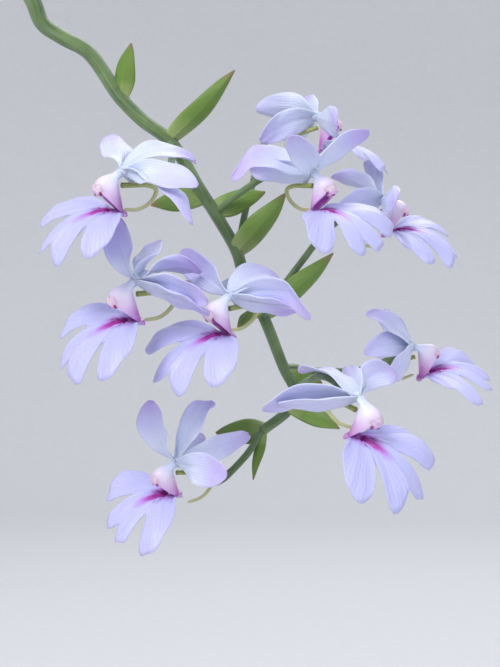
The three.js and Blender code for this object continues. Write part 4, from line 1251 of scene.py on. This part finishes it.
def pot_shell():
    """The pot's wall, turned round its axis, with its small edges rounded."""
    corners = [Vector((r, z, 0)) for r, z in [(0, 0), *POT_PROFILE, (0, POT_FLOOR)]]
    profile = []
    for before, point, after in zip(corners, corners[1:], corners[2:]):
        before, after = before - point, after - point
        ease = min(POT_EDGE, before.length * 0.35, after.length * 0.35)
        start, end = point + before.normalized() * ease, point + after.normalized() * ease
        for w in (0, 0.33, 0.67, 1):
            profile.append(start * (1 - w) ** 2 + point * (2 * w * (1 - w)) + end * w ** 2)

    def on_wall(angle, spot):
        return polar(angle, spot.x * (1 + 0.0015 * math.sin(3 * angle + spot.y * 0.05)), spot.y)
    rows = [ring_of(POT_SIDES, lambda angle: on_wall(angle, spot)) for spot in profile]
    return skin(rows, True, length_girth(len(rows), POT_SIDES), True, True)


def chip_shells(count):
    """Bark chips lying on the mix, clear of the bulbs, the scape and the pot's wall."""
    chance = random.Random(21)
    taken = [(x, y, r * 0.82) for (x, y, _), _, r, _ in BULBS] + [(*SCAPE_PATH[0][:2], 5)]
    shells = []
    while len(shells) < count:
        angle, reach = chance.uniform(0, TAU), MIX_RADIUS * math.sqrt(chance.random())
        spot = polar(angle, reach)
        size = [chance.uniform(*bounds) for bounds in CHIP_SIZES]
        if reach + size[0] * 0.8 > MIX_RADIUS + 2:
            continue
        if any(math.hypot(spot.x - a, spot.y - b) < r + size[1] for a, b, r in taken):
            continue
        turn = Matrix.Rotation(chance.uniform(0, TAU), 3, "Z")
        turn = turn @ Matrix.Rotation(chance.gauss(0, CHIP_TILT), 3, "X")
        turn = turn @ Matrix.Rotation(chance.gauss(0, CHIP_LEAN), 3, "Y")
        spot.z = MIX_LEVEL + chance.uniform(*CHIP_HEIGHTS)
        points, faces, _ = lump(spot, size, turn, rings=6, sides=9, rough=0.9, seed=len(shells) * 1.7)
        tone = (chance.random(), 0)
        shells.append((points, faces, [[{"tone": tone}] * len(face) for face in faces]))
    return shells


# Settings that a user would change

def colour_setting(name, description, hex_colour):
    return FloatVectorProperty(
        name=name, description=description, default=linear(hex_colour), size=4, min=0, max=1,
        subtype="COLOR")


def power_setting(name, description, watts):
    return FloatProperty(name=name, description=description, default=watts, min=0, unit="POWER")


class PotSettings(bpy.types.PropertyGroup):
    """Pot and bark mix."""

    clay: colour_setting("Clay", "Fired clay of the pot", "#b0633f")
    clay_dark: colour_setting("Dark Clay", "Damp patches of the clay", "#8f4e31")
    clay_light: colour_setting("Light Clay", "Dry patches of the clay", "#c07a54")
    lime: colour_setting("Lime", "Lime drawn out by water", "#d9cfc2")
    bark_dark: colour_setting("Dark Bark", "Darkest bark chips", "#2a1b12")
    bark_brown: colour_setting("Bark", "Most bark chips", "#5a3d29")
    bark_light: colour_setting("Light Bark", "Palest bark chips", "#94704f")
    chips: IntProperty(name="Chips", description="Number of loose bark chips", default=420, min=0)


class PlantSettings(bpy.types.PropertyGroup):
    """Bulbs, scape and bracts."""

    bulb_dark: colour_setting("Dark Bulb", "Shaded patches of bulb skin", "#5c6645")
    bulb_green: colour_setting("Bulb", "Bulb skin", "#7f8a62")
    bulb_pale: colour_setting("Pale Bulb", "Worn patches of bulb skin", "#a3a785")
    bulb_fibre: colour_setting("Dry Fibre", "Dry sheath fibres on the bulbs", "#cfc7b2")
    sheath_brown: colour_setting("Sheath Streaks", "Brown streaks of dry sheaths", "#7c6544")
    sheath_straw: colour_setting("Sheath", "Straw of dry sheaths", "#ab9a6c")
    stem_dark: colour_setting("Dark Stem", "Deep green of the scape", "#3d5528")
    stem_green: colour_setting("Stem", "Green of the scape", "#56703b")
    stem_light: colour_setting("Light Stem", "Light green of the scape", "#70894e")
    # Partly waxy bloom, partly a painted sheen in the colour of the stem's highlight
    stem_wax_and_sheen: colour_setting("Wax", "Waxy bloom on the scape", "#93a39b")
    bract_foot: colour_setting("Bract Foot", "Pale foot of a bract", "#a3b377")
    bract_body: colour_setting("Bract", "Body of a bract", "#6f8f3f")
    bract_tip: colour_setting("Bract Tip", "Dry tip of a bract", "#8d7f52")
    bract_vein: colour_setting("Bract Vein", "Veins of a bract", "#58762c")
    bract_thickness: FloatProperty(
        name="Bract Thickness", description="Thickness of a bract's middle", default=0.0006,
        min=0.0001, unit="LENGTH")


class BloomSettings(bpy.types.PropertyGroup):
    """Petals, lips, columns and spurs."""

    petal_width: FloatProperty(
        name="Petal Width", description="Greatest width of a petal", default=0.0105,
        min=0.001, unit="LENGTH")
    sepal_width: FloatProperty(
        name="Sepal Width", description="Greatest width of a sepal", default=0.0095,
        min=0.001, unit="LENGTH")
    blade_thickness: FloatProperty(
        name="Blade Thickness", description="Thickness of a petal's middle", default=0.0007,
        min=0.0001, unit="LENGTH")
    blade_steps: IntProperty(
        name="Petal Steps", description="Rows of faces along a petal", default=26, min=4)
    lip_rings: IntProperty(name="Lip Rings", description="Rings of faces over a lip", default=16, min=4)
    petal_foot: colour_setting("Petal Foot", "Cold white at a petal's foot", "#cdd9ee")
    petal_middle: colour_setting("Petal Middle", "White above a petal's foot", "#d6def6")
    petal_body: colour_setting("Petal Body", "Lilac-white of a petal", "#cccff5")
    petal_tip: colour_setting("Petal Tip", "Lilac of a petal's end", "#c3b4ec")
    petal_vein: colour_setting("Petal Vein", "Veins of petals and lips", "#a9a3e2")
    lip_body: colour_setting("Lip Body", "Lilac-white of a lip's lobes", "#c0c2f0")
    lip_blush: colour_setting("Lip Blush", "Lilac-pink round the throat", "#bb9fe8")
    throat_edge: colour_setting("Throat Edge", "Magenta-pink at the throat's edge", "#b44bb6")
    throat: colour_setting("Throat", "Deep magenta of the throat", "#86126e")
    column_body: colour_setting("Column", "White of the column's side", "#e6e0f2")
    column_tip: colour_setting("Column Tip", "Cream-pink of the column's end", "#dfb9e2")
    claw_pink: colour_setting("Claw", "Pink of the claw", "#c06fc6")
    anther: colour_setting("Anther", "Cream of the anther cap", "#e8cddb")
    anther_spot: colour_setting("Anther Spot", "Dark spot on the anther cap", "#8a3a44")
    spur_root: colour_setting("Spur Root", "Green of a spur's root", "#98a35a")
    spur_body: colour_setting("Spur", "Yellow-green of a spur", "#b2b77c")
    spur_tip: colour_setting("Spur Tip", "Pale end of a spur", "#c6c89c")


class StageSettings(bpy.types.PropertyGroup):
    """Background paper, lights and camera."""

    paper: colour_setting("Paper", "Background paper", "#dcdddf")
    paper_shade: colour_setting("Paper Shade", "Faint mottle of the paper", "#d6d7da")
    floor_radius: FloatProperty(
        name="Floor Radius", description="Flat floor round the pot", default=2.2, min=0.5, unit="LENGTH")
    key_power: power_setting("Key Light", "Large soft light, front left", 44)
    fill_power: power_setting("Fill Light", "Soft light, front right", 9)
    back_power: power_setting("Back Light", "Soft light, high behind", 18)
    sky: FloatProperty(name="Room Light", description="Even light of the room", default=0.72, min=0)


class CALANTHE_OT_pot(bpy.types.Operator):
    """Adds the turned clay pot with its drain holes"""

    bl_idname = "calanthe.pot"
    bl_label = "Add Pot"

    def execute(self, context):
        settings = context.scene.calanthe_pot
        pot = make_piece("pot_clay", [(pot_shell(), 0)], [terracotta(settings)])
        drills = []
        for k in range(DRAIN_HOLES):
            foot = polar(TAU * (k + 0.5) / DRAIN_HOLES, DRAIN_CIRCLE_RADIUS)
            low, high = foot - UP * 4, foot + UP * 12
            hole = tube(lambda t: low.lerp(high, t), lambda t, angle: DRAIN_HOLE_RADIUS, 1, 40)
            drills.append((hole, 0))
        drill = make_piece("pot_drill", drills, pot.data.materials)
        cut = pot.modifiers.new("drain holes", "BOOLEAN")
        cut.object, cut.operation, cut.solver = drill, "DIFFERENCE", "EXACT"
        context.view_layer.update()
        bored = bpy.data.meshes.new_from_object(pot.evaluated_get(context.evaluated_depsgraph_get()))
        pot.modifiers.clear()
        pot.data = bored
        bpy.data.objects.remove(drill)
        seat_piece(pot, "pot")
        return {"FINISHED"}


class CALANTHE_OT_mix(bpy.types.Operator):
    """Gives the growing medium its bark and scatters loose chips over it"""

    bl_idname = "calanthe.mix"
    bl_label = "Add Bark Mix"

    def execute(self, context):
        settings = context.scene.calanthe_pot
        finish = bark(settings)
        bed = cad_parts["growing_medium"]
        bed.data.materials.clear()
        bed.data.materials.append(finish)
        shells = [(shell, 0) for shell in chip_shells(settings.chips)]
        seat_piece(make_piece("bark_chips", shells, [finish], sharp=True), None)
        return {"FINISHED"}


class CALANTHE_OT_bulbs(bpy.types.Operator):
    """Adds the three ribbed pseudobulbs"""

    bl_idname = "calanthe.bulbs"
    bl_label = "Add Pseudobulbs"

    def execute(self, context):
        settings = context.scene.calanthe_plant
        finish = bulb_skin(settings)
        dry = dry_sheath(settings)
        for k, bulb in enumerate(BULBS, 1):
            body = make_piece(f"bulb_{k}", [(bulb_shell(*bulb, k), 0)], [finish])
            seat_piece(body, f"pseudobulb_{k}")
            collar = make_piece(f"bulb_collar_{k}", [(collar_shell(*bulb, k), 0)], [dry])
            seat_piece(collar, f"pseudobulb_{k}")
        return {"FINISHED"}


class CALANTHE_OT_scape(bpy.types.Operator):
    """Adds the scape with its sheaths, bracts, pedicels and ovaries"""

    bl_idname = "calanthe.scape"
    bl_label = "Add Scape"

    def execute(self, context):
        settings = context.scene.calanthe_plant
        pieces = {
            "scape_stem": ([scape_shell(), *map(pedicel_shell, BLOOMS)], stem_tissue),
            "scape_sheaths": ([sheath_shell(*sheath) for sheath in SHEATHS], dry_sheath),
            "scape_bracts": (
                [bract_shell(*bract, k, settings) for k, bract in enumerate(BRACTS)], bract_tissue),
        }
        for name, (shells, finish) in pieces.items():
            piece = make_piece(name, [(shell, 0) for shell in shells], [finish(settings)])
            seat_piece(piece, "scape")
        return {"FINISHED"}


class CALANTHE_OT_tepals(bpy.types.Operator):
    """Adds each bloom's petals and sepals"""

    bl_idname = "calanthe.tepals"
    bl_label = "Add Petals"

    def execute(self, context):
        settings = context.scene.calanthe_blooms
        finish = petal_tissue(settings)
        for number, bloom in enumerate(BLOOMS, 1):
            shells = [(shell, 0) for shell in tepal_shells(bloom, number, settings)]
            petals = make_piece(f"petals_{number}", shells, [finish])
            seat_piece(petals, f"bloom_{number}_tepals")
        return {"FINISHED"}


class CALANTHE_OT_lips(bpy.types.Operator):
    """Adds each bloom's lip, claw and column"""

    bl_idname = "calanthe.lips"
    bl_label = "Add Lips"

    def execute(self, context):
        settings = context.scene.calanthe_blooms
        finishes = [
            lip_tissue(settings), column_tissue(settings), throat_tissue(settings),
            # Anther cap: waxy cream, with brown-red spots where the pollen shows
            plain_tissue("anther cap, cream", settings.anther, settings.column_tip, 1.5, 0.35),
            plain_tissue(
                "anther spot, brown-red", settings.anther_spot, settings.throat_edge, 0.8, 0.4),
            # Fold behind the claw: the same live tissue, pink
            plain_tissue("live fold, pink", settings.claw_pink, settings.column_tip, 2, 0.35),
        ]
        for number, bloom in enumerate(BLOOMS, 1):
            wall, throat = funnel_shells()
            cap, spots, fold = column_trimmings()
            shells = [(lip_blade(settings, 70 + number), 0), (wall, 1), (throat, 2), (cap, 3)]
            shells += [(fold, 5), *[(spot, 4) for spot in spots]]
            placed = [(in_bloom(bloom, shell, bloom["size"]), index) for shell, index in shells]
            lip = make_piece(f"lip_{number}", placed, finishes)
            seat_piece(lip, f"bloom_{number}_lip_and_column")
        return {"FINISHED"}


class CALANTHE_OT_spurs(bpy.types.Operator):
    """Adds each bloom's slender spur"""

    bl_idname = "calanthe.spurs"
    bl_label = "Add Spurs"

    def execute(self, context):
        finish = spur_tissue(context.scene.calanthe_blooms)
        for number, bloom in enumerate(BLOOMS, 1):
            spur = make_piece(f"spur_{number}", [(spur_shell(bloom), 0)], [finish])
            seat_piece(spur, f"bloom_{number}_spur")
        return {"FINISHED"}


class CALANTHE_OT_stage(bpy.types.Operator):
    """Adds the pale floor and wall, the soft lights and the camera"""

    bl_idname = "calanthe.stage"
    bl_label = "Add Stage"

    def execute(self, context):
        settings = context.scene.calanthe_stage
        self.add_paper(settings)
        for name, place, size, setting, colour in LIGHTS:
            self.add_light(name, place, size, getattr(settings, setting), linear(colour))
        world = bpy.data.worlds.new("room")
        world.use_nodes = True
        background = world.node_tree.nodes["Background"]
        background.inputs["Color"].default_value = linear("#f4f6ff")
        background.inputs["Strength"].default_value = settings.sky
        context.scene.world = world
        context.scene.view_settings.view_transform = "Standard"
        self.add_camera(context)
        return {"FINISHED"}

    def add_paper(self, settings):
        floor = settings.floor_radius / MM
        profile = [(floor * share, 0) for share in (0.02, 0.2, 0.5, 1)]
        for k in range(1, SWEEP_STEPS + 1):
            angle = math.pi / 2 * k / SWEEP_STEPS
            profile.append((
                floor + math.sin(angle) * SWEEP_RADIUS, SWEEP_RADIUS - math.cos(angle) * SWEEP_RADIUS))
        profile.append((floor + SWEEP_RADIUS, WALL_HEIGHT))
        rows = [
            ring_of(PAPER_SIDES, lambda angle: polar(angle, r, z - PAPER_GAP)) for r, z in profile]
        shell = skin(rows, True, length_girth(1, PAPER_SIDES), closed_start=True)
        make_piece("studio_paper", [(shell, 0)], [studio_paper(settings)])

    def add_light(self, name, place, size, power, colour):
        lamp = bpy.data.lights.new(name, "AREA")
        lamp.shape, lamp.size, lamp.energy, lamp.color = "DISK", size, power, colour[:3]
        light = bpy.data.objects.new(name, lamp)
        light.location = place
        light.rotation_mode = "QUATERNION"
        light.rotation_quaternion = (AIM - Vector(place)).to_track_quat("-Z", "Y")
        light.visible_camera = False
        bpy.context.collection.objects.link(light)

    def add_camera(self, context):
        lens = bpy.data.cameras.new("camera")
        lens.sensor_width = SENSOR
        lens.lens = SENSOR * -CAMERA_PLACE[1] / FRAME_HEIGHT
        lens.clip_start, lens.clip_end = 0.02, 30
        camera = bpy.data.objects.new("camera", lens)
        camera.location = Vector(CAMERA_PLACE) * MM
        camera.rotation_euler = (math.pi / 2, 0, 0)
        context.collection.objects.link(camera)
        context.scene.camera = camera


class CALANTHE_PT_panel(bpy.types.Panel):
    """Lists the orchid's operators and settings"""

    bl_idname = "CALANTHE_PT_panel"
    bl_label = "Potted Calanthe"
    bl_space_type = "VIEW_3D"
    bl_region_type = "UI"
    bl_category = "Calanthe"

    def draw(self, context):
        for group, operators in STEPS.items():
            box = self.layout.box()
            settings = getattr(context.scene, group)
            for operator in operators:
                box.operator(operator.bl_idname)
            for key in settings.bl_rna.properties.keys():
                if key not in ("name", "rna_type"):
                    box.prop(settings, key)


STEPS = {
    "calanthe_pot": (CALANTHE_OT_pot, CALANTHE_OT_mix),
    "calanthe_plant": (CALANTHE_OT_bulbs, CALANTHE_OT_scape),
    "calanthe_blooms": (CALANTHE_OT_tepals, CALANTHE_OT_lips, CALANTHE_OT_spurs),
    "calanthe_stage": (CALANTHE_OT_stage,),
}
GROUPS = {
    "calanthe_pot": PotSettings, "calanthe_plant": PlantSettings,
    "calanthe_blooms": BloomSettings, "calanthe_stage": StageSettings,
}
OPERATORS = [operator for step in STEPS.values() for operator in step]
CLASSES = [*GROUPS.values(), *OPERATORS, CALANTHE_PT_panel]


def register():
    for each in CLASSES:
        bpy.utils.register_class(each)
    for name, group in GROUPS.items():
        setattr(bpy.types.Scene, name, PointerProperty(type=group))


def unregister():
    for name in GROUPS:
        delattr(bpy.types.Scene, name)
    for each in reversed(CLASSES):
        bpy.utils.unregister_class(each)


def main():
    register()
    for operator in OPERATORS:
        family, name = operator.bl_idname.split(".")
        getattr(getattr(bpy.ops, family), name)()


if __name__ == "__main__":
    main()
